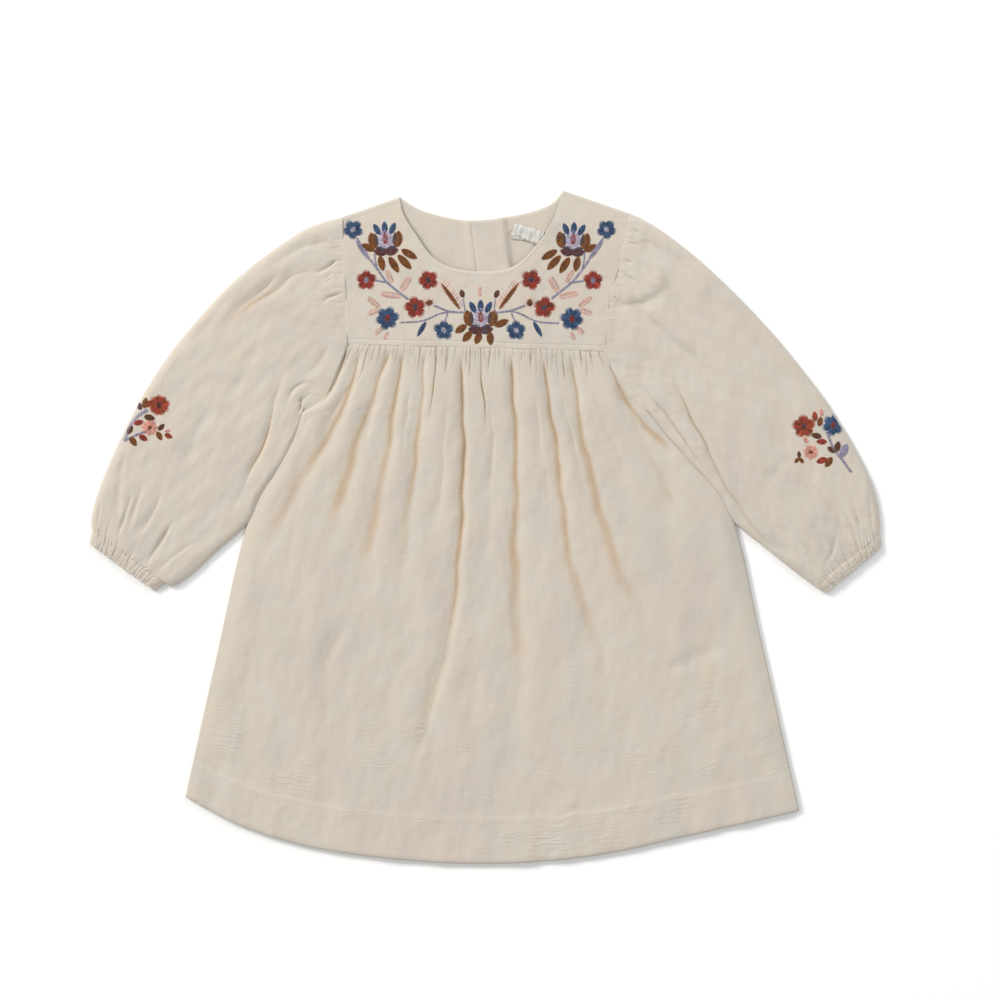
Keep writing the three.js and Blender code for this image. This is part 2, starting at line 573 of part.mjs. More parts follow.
// Shares across a sleeve's front, from its outer edge to its underarm edge: close together at both
// edges, and at the armhole close together where the head is gathered.
function sleeveStations(width, towardsCuff) {
  const edge = [0, 1, 2.5, 5].map((d) => d / width);
  const headSteps = HEAD_GATHERS * 2;
  const head = Array.from({ length: headSteps + 1 }, (_, i) => mix(...HEAD_SPAN, i / headSteps));
  const restSteps = 15;
  const rest = Array.from({ length: restSteps }, (_, i) => mix(HEAD_SPAN[1], 0.94, (i + 1) / restSteps));
  const atHead = [...head, ...rest];
  const last = atHead.length - 1;
  const inner = atHead.map((share, i) => mix(share, mix(10 / width, 1 - 10 / width, i / last), towardsCuff));
  return [...edge, ...inner, ...edge.map((e) => 1 - e).reverse()];
}

const BACK_STATIONS = [0.985, 0.93, 0.85, 0.77, 0.69, 0.61, 0.54, 0.47, 0.39, 0.31, 0.23, 0.15, 0.07, 0.015];
const EDGE_HEIGHT = 1.35; // where the front and back plies of a sleeve turn into each other
const FRONT_ROUND = 9; // distance from the edge over which the front rises
const BACK_ROUND = 2;
const LAST_AGAINST_SKIRT = 7; // the last section whose underarm edge touches the skirt

function roundTo(distance, radius) {
  const t = clamp(distance / radius, 0, 1);
  return Math.sqrt(1 - (1 - t) ** 2);
}

function acrossSection({ outer, under }, share) {
  return mix2(new THREE.Vector2(...outer), new THREE.Vector2(...under), share);
}

// The point of a sleeve's section at a share of the way across it. Near the armhole a section takes
// the armhole's own curve.
function sectionPoint(sleeve, armhole, row, share) {
  const straight = acrossSection(sleeve[row], share);
  const fade = Math.max(0, 1 - row / 5) ** (1.5 + 7 * share ** 3);
  if (fade === 0) return straight;
  const chord = acrossSection(sleeve[0], share);
  return straight.addScaledVector(along(armhole, share).sub(chord), fade);
}

// Small gathers where the sleeve meets the armhole and the cuff.
function sleeveGathers(row, share, lastRow) {
  const [from, to] = HEAD_SPAN;
  const inHead = share > from && share < to;
  const head = inHead ? 0.5 - 0.5 * Math.cos((2 * Math.PI * HEAD_GATHERS * (share - from)) / (to - from)) : 0;
  const headFade = Math.max(0, 1 - row / HEAD_REACH);
  const cuff = 0.5 - 0.5 * Math.cos(2 * Math.PI * CUFF_GATHERS * share);
  const cuffFade = Math.max(0, 1 - (lastRow - row) / CUFF_REACH);
  const middle = smoothstep(Math.min(share, 1 - share), 0.02, 0.08);
  return HEAD_DEPTH * head * headFade + CUFF_DEPTH * cuff * cuffFade * middle;
}

// The rings of a sleeve or cuff: outside from the outer edge across the front to the underarm edge and
// back underneath, and the same inside.
function sleeveRing(plan, width, stations, top) {
  const outer = [];
  const inner = [];
  const insideShare = (share) => CLOTH / width + share * (1 - (2 * CLOTH) / width);
  for (const share of stations) {
    const fromEdge = Math.min(share, 1 - share) * width;
    const rise = roundTo(fromEdge, FRONT_ROUND);
    const out = plan(share);
    const into = plan(insideShare(share));
    const height = top(out.x, out.y, share);
    const below = clamp(height - CLOTH, FRONT_LOW, HOLLOW_TOP);
    outer.push(new THREE.Vector3(out.x, out.y, mix(EDGE_HEIGHT, height, rise)));
    inner.push(new THREE.Vector3(into.x, into.y, mix(EDGE_HEIGHT, below, rise)));
  }
  for (const share of BACK_STATIONS) {
    const fromEdge = Math.min(share, 1 - share) * width;
    const drop = roundTo(fromEdge, BACK_ROUND);
    const out = plan(share);
    const into = plan(insideShare(share));
    outer.push(new THREE.Vector3(out.x, out.y, mix(EDGE_HEIGHT, 0, drop)));
    inner.push(new THREE.Vector3(into.x, into.y, mix(EDGE_HEIGHT, CLOTH, drop)));
  }
  return { outer, inner };
}

// Gives every section its underarm point, on the side of the skirt where it lies against it.
function onSkirt(sections, sidePoints) {
  const side = curve(sidePoints).getSpacedPoints(200);
  return sections.map(({ outer, under, sideY, height }) => {
    if (under) return { outer, under, height };
    const point = side.find((p) => p.y <= sideY);
    return { outer, under: [point.x, point.y], height };
  });
}

// Moves a sleeve's point away from the body: by half the armhole gap at the armhole, and by half the
// clearance where it lies against the skirt.
function clearOfBody(point, side, row, share) {
  const against = 1 - smoothstep(row, LAST_AGAINST_SKIRT, LAST_AGAINST_SKIRT + 3);
  const gap = row === 0 ? ARMHOLE_GAP / 2 : (SLEEVE_CLEARANCE / 2) * share * against;
  point.x += side * gap;
  return point;
}

function sleeve(name, side, sections, folds, armhole) {
  const traces = folds.map((f) => traced(f));
  const lastRow = sections.length - 2;
  const outer = [];
  const inner = [];
  for (let row = 0; row <= lastRow; row++) {
    const plan = (share) => clearOfBody(sectionPoint(sections, armhole, row, share), side, row, share);
    const width = plan(0).distanceTo(plan(1));
    const top = (x, y, share) => {
      const gathered = sleeveGathers(row, share, lastRow);
      const pressed = traces.reduce((sum, fold) => sum + trough(fold, x, y), gathered);
      return Math.max(sections[row].height - pressed, FRONT_LOW + CLOTH);
    };
    const ring = sleeveRing(plan, width, sleeveStations(width, Math.min(1, row / 6)), top);
    outer.push(ring.outer);
    inner.push(ring.inner);
  }
  return wall(name, outer, inner, cream, true);
}

// The elastic casing at the end of a sleeve, ruched on its outside.
function cuff(name, sections) {
  const last = sections.length - 1;
  const [from, to] = [sections[last - 1], sections[last]];
  const length = Math.hypot(to.outer[0] - from.outer[0], to.outer[1] - from.outer[1]);
  const stations = sleeveStations(60, 1);
  const steps = 3;
  const outer = [];
  const inner = [];
  for (let i = 0; i <= steps; i++) {
    const down = mix((SEAM_GAP + 0.05) / length, 1, i / steps);
    const plan = (share) => mix2(acrossSection(from, share), acrossSection(to, share), down);
    const width = plan(0).distanceTo(plan(1));
    const belly = 0.35 * Math.sin(Math.PI * down);
    const top = (x, y, share) => {
      const ruche = 0.5 - 0.5 * Math.cos(2 * Math.PI * CUFF_GATHERS * share);
      return mix(from.height, to.height, down) + belly - CASING_RUCHE * ruche;
    };
    const ring = sleeveRing(plan, width, stations, top);
    outer.push(ring.outer);
    inner.push(ring.inner);
  }
  return wall(name, outer, inner, cream, true);
}

function neckLabel() {
  const corner = 1;
  const [w, h] = [LABEL_WIDTH / 2, LABEL_HEIGHT / 2];
  const shape = new THREE.Shape()
    .moveTo(-w + corner, -h).lineTo(w - corner, -h).lineTo(w, -h + corner).lineTo(w, h - corner)
    .lineTo(w - corner, h).lineTo(-w + corner, h).lineTo(-w, h - corner).lineTo(-w, -h + corner);
  const solid = new THREE.ExtrudeGeometry(shape, { depth: LABEL_THICK, bevelEnabled: false });
  const label = new THREE.Mesh(solid, labelWhite);
  label.position.set(LABEL_CENTRE[0], LABEL_CENTRE[1], BACK_TOP + PLY_GAP);
  label.rotation.z = LABEL_TILT;
  label.name = "neck_label";
  return label;
}

const sleeveLeft = onSkirt(SLEEVE_LEFT, SIDE_LEFT);
const sleeveRight = onSkirt(SLEEVE_RIGHT, SIDE_RIGHT);
const armholeLeft = joined(ARMHOLE_LEFT_UPPER, ARMHOLE_LEFT_LOWER);
const armholeRight = joined(ARMHOLE_RIGHT_UPPER, ARMHOLE_RIGHT_LOWER);

const dress = new THREE.Group();
dress.add(frontYoke(), ...backYokes(), ...backButtons(), neckLabel());
dress.add(frontSkirt(), backSkirt());
dress.add(sleeve("sleeve_left", -1, sleeveLeft, LEFT_SLEEVE_FOLDS, armholeLeft));
dress.add(sleeve("sleeve_right", 1, sleeveRight, RIGHT_SLEEVE_FOLDS, armholeRight));
dress.add(cuff("cuff_left", sleeveLeft), cuff("cuff_right", sleeveRight));

export default dress;
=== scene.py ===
import math
from functools import reduce

import bpy
import numpy as np
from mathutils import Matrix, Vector
from mathutils.bvhtree import BVHTree


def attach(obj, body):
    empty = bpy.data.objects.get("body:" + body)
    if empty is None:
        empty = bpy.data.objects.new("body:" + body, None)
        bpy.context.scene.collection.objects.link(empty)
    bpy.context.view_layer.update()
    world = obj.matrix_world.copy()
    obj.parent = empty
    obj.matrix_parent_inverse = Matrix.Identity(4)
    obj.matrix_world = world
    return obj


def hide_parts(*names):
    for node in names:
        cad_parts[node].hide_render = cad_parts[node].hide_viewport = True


# A girl's long-sleeved dress of crinkled double gauze, laid flat with its front up.
# The tables are in millimetres in the frame of the CAD part; meshes are made in metres.

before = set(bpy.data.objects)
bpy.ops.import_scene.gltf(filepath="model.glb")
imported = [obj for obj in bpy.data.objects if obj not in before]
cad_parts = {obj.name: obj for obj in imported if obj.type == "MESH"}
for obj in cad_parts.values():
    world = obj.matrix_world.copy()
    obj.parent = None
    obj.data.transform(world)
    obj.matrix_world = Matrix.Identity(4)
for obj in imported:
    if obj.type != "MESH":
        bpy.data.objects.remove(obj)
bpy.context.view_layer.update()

MM = 0.001

# Cloth
CLOTH = 1.2
PLY_GAP = 0.3
SHELL = 0.9  # thickness of a visible ply, a little less than the solid's
BACK_TOP = CLOTH
FRONT_LOW = BACK_TOP + PLY_GAP
UNDER_PLACKET = 1.5
OVER_PLACKET = 3.0
FRONT_OVER_PLACKET = 4.5
FRONT_AT_ARMHOLE = 3.0
SKIRT_CREST = 6.4
SKIRT_AT_HEM = 3.9
HEM_PLY = 0.5
HEM_DEPTH = 30
TUCKED = 1.5  # how far a gathered edge goes under the yoke

# Outline corners
NECK_LEFT = (-67, 257)
NECK_RIGHT = (61, 262)
SHOULDER_LEFT = (-113, 241)
SHOULDER_RIGHT = (113, 244)
YOKE_LEFT = (-109, 142)
YOKE_RIGHT = (93.5, 136.5)
UNDERARM_LEFT = (-144, 89)
UNDERARM_RIGHT = (128, 88)
HEM_LEFT = (-234, -211)
HEM_RIGHT = (245, -222)

# Outline stretches between the corners
ARMHOLE_LEFT_UPPER = [SHOULDER_LEFT, (-112, 215), (-110, 179), YOKE_LEFT]
ARMHOLE_LEFT_LOWER = [YOKE_LEFT, (-116, 124), (-127, 100), UNDERARM_LEFT]
ARMHOLE_RIGHT_UPPER = [SHOULDER_RIGHT, (107, 211), (97, 176), YOKE_RIGHT]
ARMHOLE_RIGHT_LOWER = [YOKE_RIGHT, (101, 121), (112, 103), UNDERARM_RIGHT]
SIDE_LEFT = [UNDERARM_LEFT, (-150, 68), (-160, 48), (-185, 4), (-211, -107), HEM_LEFT]
SIDE_RIGHT = [UNDERARM_RIGHT, (142, 70), (159, 51), (193, 6), (216, -92), HEM_RIGHT]
FRONT_NECK = [NECK_LEFT, (-64, 244), (-55, 229), (-41, 210), (-23, 201), (3, 199), (22, 203), (36, 215),
              (50, 234), NECK_RIGHT]
BACK_NECK = [NECK_LEFT, (-48, 246), (-11, 238.5), (27, 243.5), (50, 251), NECK_RIGHT]
HEM = [HEM_LEFT, (-184, -236), (-115, -254), (-15, -263), (77, -258), (160, -241), HEM_RIGHT]

PLACKET_TOP = (-11.5, 238.5)
PLACKET_LOW = (0.5, 138)
PLACKET_WIDTH = 20

# Width of a fold's two flanks, as shares of its width
STEEP = 0.75
GENTLE = 1.25

# Gathers under the yoke: x along the seam, lean and reach to the end, half width, depth
YOKE_GATHERS = [
    (-103, -14, 26, 1.8, 1.0),
    (-90, -15, 37, 1.8, 1.4),
    (-86, -8, 22, 1.2, 0.8),
    (-82, -5, 16, 1.4, 0.9),
    (-68, -6, 24, 1.1, 0.8),
    (-56, -2, 14, 1.4, 1.0),
    (-51, -3, 30, 1.1, 0.9),
    (-38.5, -6, 67, 1.9, 1.7),
    (-34, -2, 18, 1.0, 0.7),
    (-30, -2, 27, 1.5, 1.5),
    (-24, -1, 20, 1.0, 0.8),
    (-12, -1, 30, 1.3, 1.3),
    (-8, 1, 20, 1.0, 0.8),
    (-4, 6, 82, 1.8, 1.6),
    (3.5, -2, 28, 1.4, 1.3),
    (7.5, 0, 18, 1.0, 0.8),
    (11, -1, 15, 1.1, 0.9),
    (15, 0, 26, 1.0, 0.8),
    (28, 0, 15, 1.2, 0.9),
    (35.5, 0, 22, 1.5, 1.4),
    (39, 2, 28, 1.0, 0.8),
    (51.5, 1, 18, 1.2, 1.0),
    (55, 3, 40, 1.1, 0.9),
    (59, 6, 32, 1.4, 1.4),
    (74, 2, 20, 1.2, 1.1),
    (78, 3, 34, 1.0, 0.8),
    (81, 4, 18, 1.3, 1.0),
    (88, 5, 14, 1.2, 0.9),
]

# Long folds of the front: points down the trough, half width at both ends, depth
SKIRT_FOLDS = [
    ([(-96, 142), (-111, 92), (-122, 71), (-160, 8), (-178, -40)], 2.5, 9, 2.6),
    ([(-73, 141), (-95, 81), (-112, 25), (-131, -37)], 2.4, 9, 2.8),
    ([(-64, 141), (-76, 61), (-87, 5), (-98, -60)], 2.2, 9, 2.6),
    ([(-47, 140), (-53, 67), (-66, -26), (-78, -70)], 2.0, 8, 2.2),
    ([(-20, 140), (-17, 66), (-21, -26), (-33, -106), (-74, -232)], 2.2, 5.6, 3.6),
    ([(19.5, 139), (24, 55), (23, -26), (26, -106), (31, -170)], 2.2, 9, 3.2),
    ([(43.5, 138), (55, 63), (66, -26), (86, -90), (99, -165)], 2.2, 9, 2.9),
    ([(66.5, 138), (77, 63), (101, -26), (113, -51), (133, -104)], 2.2, 10, 3.0),
    ([(101, 118), (114, 92), (122, 64), (140, 33), (160, -20)], 3, 9, 1.3),
    ([(-108, -70), (-123, -102), (-127, -130), (-129, -178)], 3.8, 8, 2.3),
    ([(-184, -80), (-190, -149), (-194, -206)], 6, 10, 1.8),
    ([(-7, -100), (-13, -146), (-14, -196)], 6, 10, 1.4),
    ([(177, -60), (174, -128), (179, -188)], 8, 12, 1.7),
    ([(-40, -150), (-46, -196), (-58, -250)], 6, 9, 1.3),
]
LED_FOLDS = 8

# Small creases of the front, which the solid leaves out, in the same columns
SKIRT_CREASES = [
    ([(-137, 88), (-142, 76), (-146, 63)], 1.4, 2.0, 0.8),
    ([(-107, 146), (-113, 124), (-120, 107), (-133, 90)], 1.6, 2.4, 3.0),
    ([(120, 95), (126, 90), (135, 84)], 1.0, 1.2, 2.0),
    ([(96, 132), (101, 116), (110, 100), (119, 89)], 2.2, 3.0, 2.2),
    ([(101, 114), (108, 100), (121, 84), (137, 66), (151, 49)], 3.0, 4.5, 3.0),
    ([(139, -114), (168, -99), (196, -87)], 3.0, 4.5, 1.4),
    ([(52, -227), (65, -222), (78, -218)], 1.4, 2.0, 0.7),
    ([(-84, 100), (-92, 76), (-97, 50)], 1.6, 3.0, 0.9),
    ([(-58, 108), (-63, 80), (-66, 44)], 1.5, 3.0, 0.9),
    ([(-30, 96), (-33, 60), (-36, 20), (-41, -20)], 1.6, 4.0, 1.1),
    ([(4, 100), (5, 60), (3, 10), (4, -40)], 1.6, 4.0, 1.1),
    ([(38, 104), (42, 70), (47, 30), (52, -14)], 1.6, 4.0, 1.1),
    ([(60, 104), (65, 78), (74, 40), (84, 6)], 1.5, 3.5, 1.0),
    ([(84, 108), (92, 84), (104, 52), (116, 20)], 1.6, 3.5, 1.0),
    ([(-104, 112), (-116, 92), (-130, 66)], 1.6, 3.0, 0.9),
    ([(-142, 30), (-152, -8), (-158, -50)], 3.0, 6.0, 1.0),
    ([(46, -60), (56, -104), (60, -150)], 4.0, 7.0, 1.0),
    ([(-62, -90), (-76, -140), (-90, -190)], 4.0, 7.0, 1.0),
    ([(132, -60), (146, -104), (150, -160)], 4.0, 7.0, 0.9),
]

# Sections across each sleeve: outer edge, underarm edge (or its y on the side of the skirt), height
SLEEVE_LEFT = [
    (SHOULDER_LEFT, UNDERARM_LEFT, 4.4),
    ((-126, 237.5), 86, 4.9),
    ((-144, 230), 72, 5.3),
    ((-174, 209.5), 52, 5.8),
    ((-197, 190.5), 37, 6.0),
    ((-216, 171), 22, 6.0),
    ((-233, 151.5), 6, 5.8),
    ((-249, 131), (-192.5, -3.5), 5.6),
    ((-264, 108), (-204, -14), 5.5),
    ((-277, 84), (-215, -24.5), 5.6),
    ((-289, 59), (-226, -35), 5.8),
    ((-299.5, 34), (-235, -42), 6.0),
    ((-305.5, 15), (-241, -45.5), 6.0),
    ((-307.5, 4), (-245.5, -46.5), 5.6),
    ((-307, -4), (-250.5, -44.5), 5.2),
    ((-309, -13), (-257.5, -50.5), 4.8),
]
SLEEVE_RIGHT = [
    (SHOULDER_RIGHT, UNDERARM_RIGHT, 4.4),
    ((124, 239), 83, 4.9),
    ((142, 227.5), 70, 5.3),
    ((163, 211), 59.5, 5.8),
    ((184, 192), 49, 6.0),
    ((205, 171), 37, 6.0),
    ((226, 148), 22, 5.8),
    ((246, 123.5), 6, 5.6),
    ((265, 98.5), (204, -5), 5.5),
    ((280, 75), (215, -14), 5.6),
    ((292, 54), (226, -23), 5.8),
    ((302, 32), (236, -31), 6.0),
    ((306.5, 15), (244.5, -37.5), 6.0),
    ((308, 3), (251.5, -42.8), 5.6),
    ((308, -6), (257.5, -47), 5.2),
    ((309.5, -15), (265, -52), 4.8),
]

LEFT_SLEEVE_FOLDS = [
    ([(-114, 209), (-125, 201), (-135, 197)], 0.9, 1.2, 2.2),
    ([(-124, 201), (-148, 197), (-160, 187), (-176, 178), (-193, 164), (-210, 142)], 2.6, 5.5, 2.5),
    ([(-158, 203), (-170, 189), (-181, 179), (-191, 171), (-200, 156)], 2.0, 3.4, 1.6),
    ([(-111, 182), (-117, 180), (-123, 178), (-127, 173)], 0.8, 1.0, 1.8),
    ([(-118, 199), (-126, 192)], 0.7, 0.9, 0.9),
    ([(-118, 195), (-125, 189)], 0.7, 0.9, 0.8),
    ([(-168, 170), (-148, 160), (-131, 154)], 3.5, 4.5, 1.2),
    ([(-155, 126), (-167, 88), (-174, 61), (-190, 30), (-201, 3)], 1.8, 2.6, 2.6),
    ([(-155, 93), (-153, 102), (-148, 109), (-139, 113), (-130, 108)], 1.2, 1.6, 1.5),
    ([(-143.5, 102), (-143.8, 95), (-145, 87)], 0.8, 1.0, 2.4),
    ([(-136, 104), (-144, 98), (-151, 99)], 0.8, 1.2, 1.0),
    ([(-120, 146), (-131, 128), (-141, 118), (-152, 112)], 3, 5, 1.4),
    ([(-282, 62), (-285, 36), (-286, 14), (-291, -6)], 2.5, 2, 1.7),
    ([(-276, 26), (-281, 8), (-287, -10)], 1.0, 1.2, 1.9),
    ([(-267, 34), (-272, 16), (-280, -6)], 1.6, 1.6, 1.6),
    ([(-252, 28), (-262, 6), (-272, -10)], 2.2, 2, 1.9),
    ([(-245, 2), (-257, -18), (-266, -33)], 1.1, 1.3, 1.5),
    ([(-242, 8), (-252, -12), (-260, -30)], 1.8, 1.8, 1.5),
    ([(-226, -10), (-244, -24), (-258, -38)], 1.8, 1.6, 1.2),
    ([(-300, 20), (-302, 4), (-303, -6)], 1.2, 1.2, 1.2),
    ([(-240, 66), (-228, 50), (-220, 36)], 3.5, 4, 1.0),
    ([(-222, 118), (-200, 112), (-180, 108)], 3, 4, 0.9),
]
LEFT_SOFT_CREASES = [
    ([(-120, 222), (-140, 219), (-158, 209), (-172, 198)], 2.6, 4.0, 1.5),
    ([(-200, 180), (-215, 160), (-228, 138)], 3.0, 5.0, 1.4),
    ([(-214, 96), (-226, 72), (-236, 44)], 4.0, 6.0, 1.3),
    ([(-176, 140), (-190, 116), (-200, 90)], 3.6, 5.0, 1.2),
]
RIGHT_SLEEVE_FOLDS = [
    ([(114, 233), (120, 228)], 0.7, 0.8, 1.1),
    ([(111, 222), (120, 219)], 0.7, 0.8, 1.1),
    ([(108, 208), (115, 205)], 0.7, 0.8, 1.0),
    ([(107, 197), (118, 191)], 0.7, 0.9, 1.3),
    ([(100, 180), (106, 174)], 0.7, 0.8, 1.2),
    ([(137, 136), (153, 101), (170, 66), (183, 40), (208, 1), (240, -24), (260, -33)], 2.4, 3.2, 2.6),
    ([(109, 119), (126, 105), (147, 78), (167, 51), (188, 18)], 1.1, 1.6, 1.8),
    ([(170, 190), (182, 172), (198, 158)], 3, 4, 0.8),
    ([(240, 56), (226, 43), (215, 26)], 2.2, 3.4, 1.2),
    ([(284, 30), (290, 6), (295, -12)], 1.6, 1.5, 1.6),
    ([(278, 14), (286, -2), (292, -18)], 0.9, 1.1, 1.5),
    ([(288, 10), (294, -2), (298, -12)], 0.9, 1.1, 1.3),
    ([(252, 34), (268, 16), (278, 2), (287, -20)], 1.3, 1.7, 1.4),
    ([(273, -4), (271, -20), (262, -34)], 1.2, 1.5, 1.2),
    ([(250, 10), (262, -12), (270, -34)], 1.6, 2.2, 1.2),
    ([(244, -8), (254, -24), (262, -40)], 1.6, 2.0, 1.2),
    ([(298, 24), (301, 8), (302, -6)], 1.2, 1.2, 1.3),
]

RIGHT_SOFT_CREASES = [
    ([(97, 173), (120, 174), (138, 182), (145, 197)], 3.4, 4.0, 3.0),
    ([(112, 186), (122, 166), (142, 149), (162, 130), (177, 112), (186, 92)], 2.6, 5.0, 3.4),
    ([(142, 204), (148, 178), (166, 152), (190, 122)], 2.6, 4.5, 3.0),
    ([(118, 225), (140, 214), (160, 198)], 3.0, 4.5, 1.4),
    ([(206, 150), (222, 128), (236, 104)], 3.0, 5.0, 1.2),
]

# Gathers at the sleeve heads: share across from the shoulder, reach in rows, depth
LEFT_HEAD_GATHERS = [
    (0.10, 0.7, 0.7), (0.135, 1.1, 1.0), (0.16, 0.6, 0.7), (0.20, 1.3, 1.1), (0.23, 0.7, 0.8),
    (0.265, 0.9, 0.9), (0.29, 0.6, 0.6), (0.33, 1.4, 1.1), (0.36, 0.7, 0.7), (0.40, 1.0, 0.9),
    (0.43, 0.6, 0.7), (0.47, 0.8, 0.7),
]
RIGHT_HEAD_GATHERS = [
    (0.08, 0.6, 0.8), (0.11, 0.9, 1.1), (0.145, 0.5, 0.7), (0.19, 0.8, 0.9), (0.23, 0.6, 0.8),
    (0.27, 1.1, 1.1), (0.30, 0.6, 0.8), (0.335, 0.8, 1.0), (0.37, 0.5, 0.7), (0.41, 1.0, 1.1),
    (0.44, 0.7, 0.8), (0.48, 0.6, 0.6),
]

# Gathers at a casing, in the same columns, and short puckers on the casing alone
CUFF_GATHERS = [
    (0.05, 0.8, 0.7), (0.10, 1.7, 1.0), (0.15, 0.9, 0.8), (0.185, 2.3, 1.1), (0.24, 1.0, 0.9),
    (0.275, 1.5, 0.9), (0.33, 2.2, 1.1), (0.36, 0.9, 0.7), (0.42, 1.4, 0.9), (0.47, 0.8, 0.8),
    (0.52, 1.9, 1.0), (0.555, 0.9, 0.8), (0.62, 1.3, 0.9), (0.66, 0.7, 0.7), (0.71, 1.8, 1.0),
    (0.765, 0.9, 0.8), (0.81, 1.2, 0.8), (0.86, 0.8, 0.8), (0.92, 1.1, 0.7), (0.96, 0.7, 0.6),
]
CUFF_PUCKERS = [
    (0.03, 0, 0.5), (0.075, 0, 0.6), (0.128, 0, 0.5), (0.215, 0, 0.6), (0.30, 0, 0.5),
    (0.39, 0, 0.7), (0.445, 0, 0.5), (0.50, 0, 0.5), (0.59, 0, 0.6), (0.685, 0, 0.5),
    (0.74, 0, 0.5), (0.835, 0, 0.6), (0.895, 0, 0.5), (0.945, 0, 0.5),
]

# Unevenness of each piece: height, pitch, how much y counts, seed
RIPPLES = {
    "front_skirt": [(0.45, 34, 0.35, 3), (0.2, 13, 0.4, 5), (0.1, 7, 0.6, 6)],
    "front_yoke": [(0.2, 24, 1, 8), (0.08, 9, 1, 9)],
    "back_yoke_left": [(0.12, 18, 1, 19)],
    "back_yoke_right": [(0.12, 18, 1, 21)],
    "back_skirt": [(0.05, 15, 1, 40)],
    "sleeve_left": [(0.4, 30, 1, 49), (0.2, 12, 1, 59), (0.08, 6, 1, 69)],
    "sleeve_right": [(0.4, 30, 1, 51), (0.2, 12, 1, 61), (0.08, 6, 1, 71)],
}


def smooth(x, low, high):
    t = np.clip((x - low) / (high - low), 0, 1)
    return t * t * (3 - 2 * t)


def fading(x, reach):
    """1 at 0, smoothly down to 0 at the reach."""
    return 1 - smooth(x, 0, reach)


def bell(x, centre, width):
    return np.exp(-(((x - centre) / width) ** 2))


def mix(a, b, t):
    return a + (b - a) * t


def between(a, b, c, d, t):
    """A smooth stretch from b to c that knows its neighbours a and d, at shares t."""
    start, end = (c - a) / 2, (d - b) / 2
    return (2 * b - 2 * c + start + end) * t**3 + (3 * c - 3 * b - 2 * start - end) * t**2 + start * t + b


def distances(points, axis):
    """Running distances along one axis of a grid of points."""
    total = np.cumsum(np.hypot(*np.moveaxis(np.diff(points[..., :2], axis=axis), -1, 0)), axis)
    return np.concatenate([np.zeros_like(np.take(total, [0], axis)), total], axis)


def ripple(x, y, pitch, seed):
    """Gentle unevenness, about 1 high, with bumps about a pitch apart."""
    rng = np.random.default_rng(seed)
    total = np.zeros(np.broadcast(x, y).shape)
    for _ in range(7):
        angle = rng.uniform(0, math.tau)
        wave = math.tau / (pitch * rng.uniform(0.7, 1.6))
        total = total + np.sin((x * math.cos(angle) + y * math.sin(angle)) * wave + rng.uniform(0, math.tau))
    return total / 3.5


def unevenness(node, x, y):
    return sum(height * ripple(x, y * stretch, pitch, seed) for height, pitch, stretch, seed in RIPPLES[node])


class Path:
    """A smooth curve through points, one stretch after another, by share of its length."""

    def __init__(self, *stretches):
        self.points = np.vstack([self.smoothed(stretch) for stretch in stretches])
        self.length = distances(self.points, 0)
        self.total = self.length[-1]

    @staticmethod
    def smoothed(points):
        p = np.array([points[0], *points, points[-1]], float)
        t = np.linspace(0, 1, 24, endpoint=False)[:, None]
        return np.vstack([*(between(*four, t) for four in zip(p, p[1:], p[2:], p[3:])), p[-1:]])

    def at(self, share):
        along = np.clip(share, 0, 1) * self.total
        return np.stack([np.interp(along, self.length, self.points[:, k]) for k in (0, 1)], -1)

    def x_at_y(self, y):
        """The x where a path that runs downwards crosses y."""
        return np.interp(-np.asarray(y, float), -self.points[:, 1], self.points[:, 0])


def trace(points, start, end, depth, fade_in=0.0, body=1.0):
    """A fold along a curve that wanders a little to both sides of its points."""
    path = Path(points)
    share = np.linspace(0, 1, int(np.clip(path.total / 6, 10, 50)))
    line = path.at(share)
    ahead = np.gradient(line, axis=0)
    normal = np.stack([-ahead[:, 1], ahead[:, 0]], -1) / np.hypot(*ahead.T)[:, None]
    phase = line[0, 0]
    swing = np.sin(path.total / 9 * share + phase) + 0.5 * np.sin(path.total / 4.5 * share + 2 * phase)
    swing = swing * min(0.7, path.total / 110) * smooth(share, 0, 0.15)
    line = line + normal * swing[:, None]
    return {"line": line, "start": start, "end": end, "depth": depth, "fade_in": fade_in, "body": body}


def nearest(line, px, py):
    """For points, their distance to a line, the share along it and the hand on which they lie."""
    best = np.full(px.shape, np.inf)
    share, hand = np.zeros(px.shape), np.zeros(px.shape)
    steps = len(line) - 1
    for i in range(steps):
        a = line[i]
        d = line[i + 1] - a
        t = np.clip(((px - a[0]) * d[0] + (py - a[1]) * d[1]) / (d @ d), 0, 1)
        rx, ry = px - a[0] - t * d[0], py - a[1] - t * d[1]
        away = np.hypot(rx, ry)
        closer = away < best
        best = np.where(closer, away, best)
        share = np.where(closer, (i + t) / steps, share)
        hand = np.where(closer, d[0] * ry - d[1] * rx, hand)
    return best, share, hand


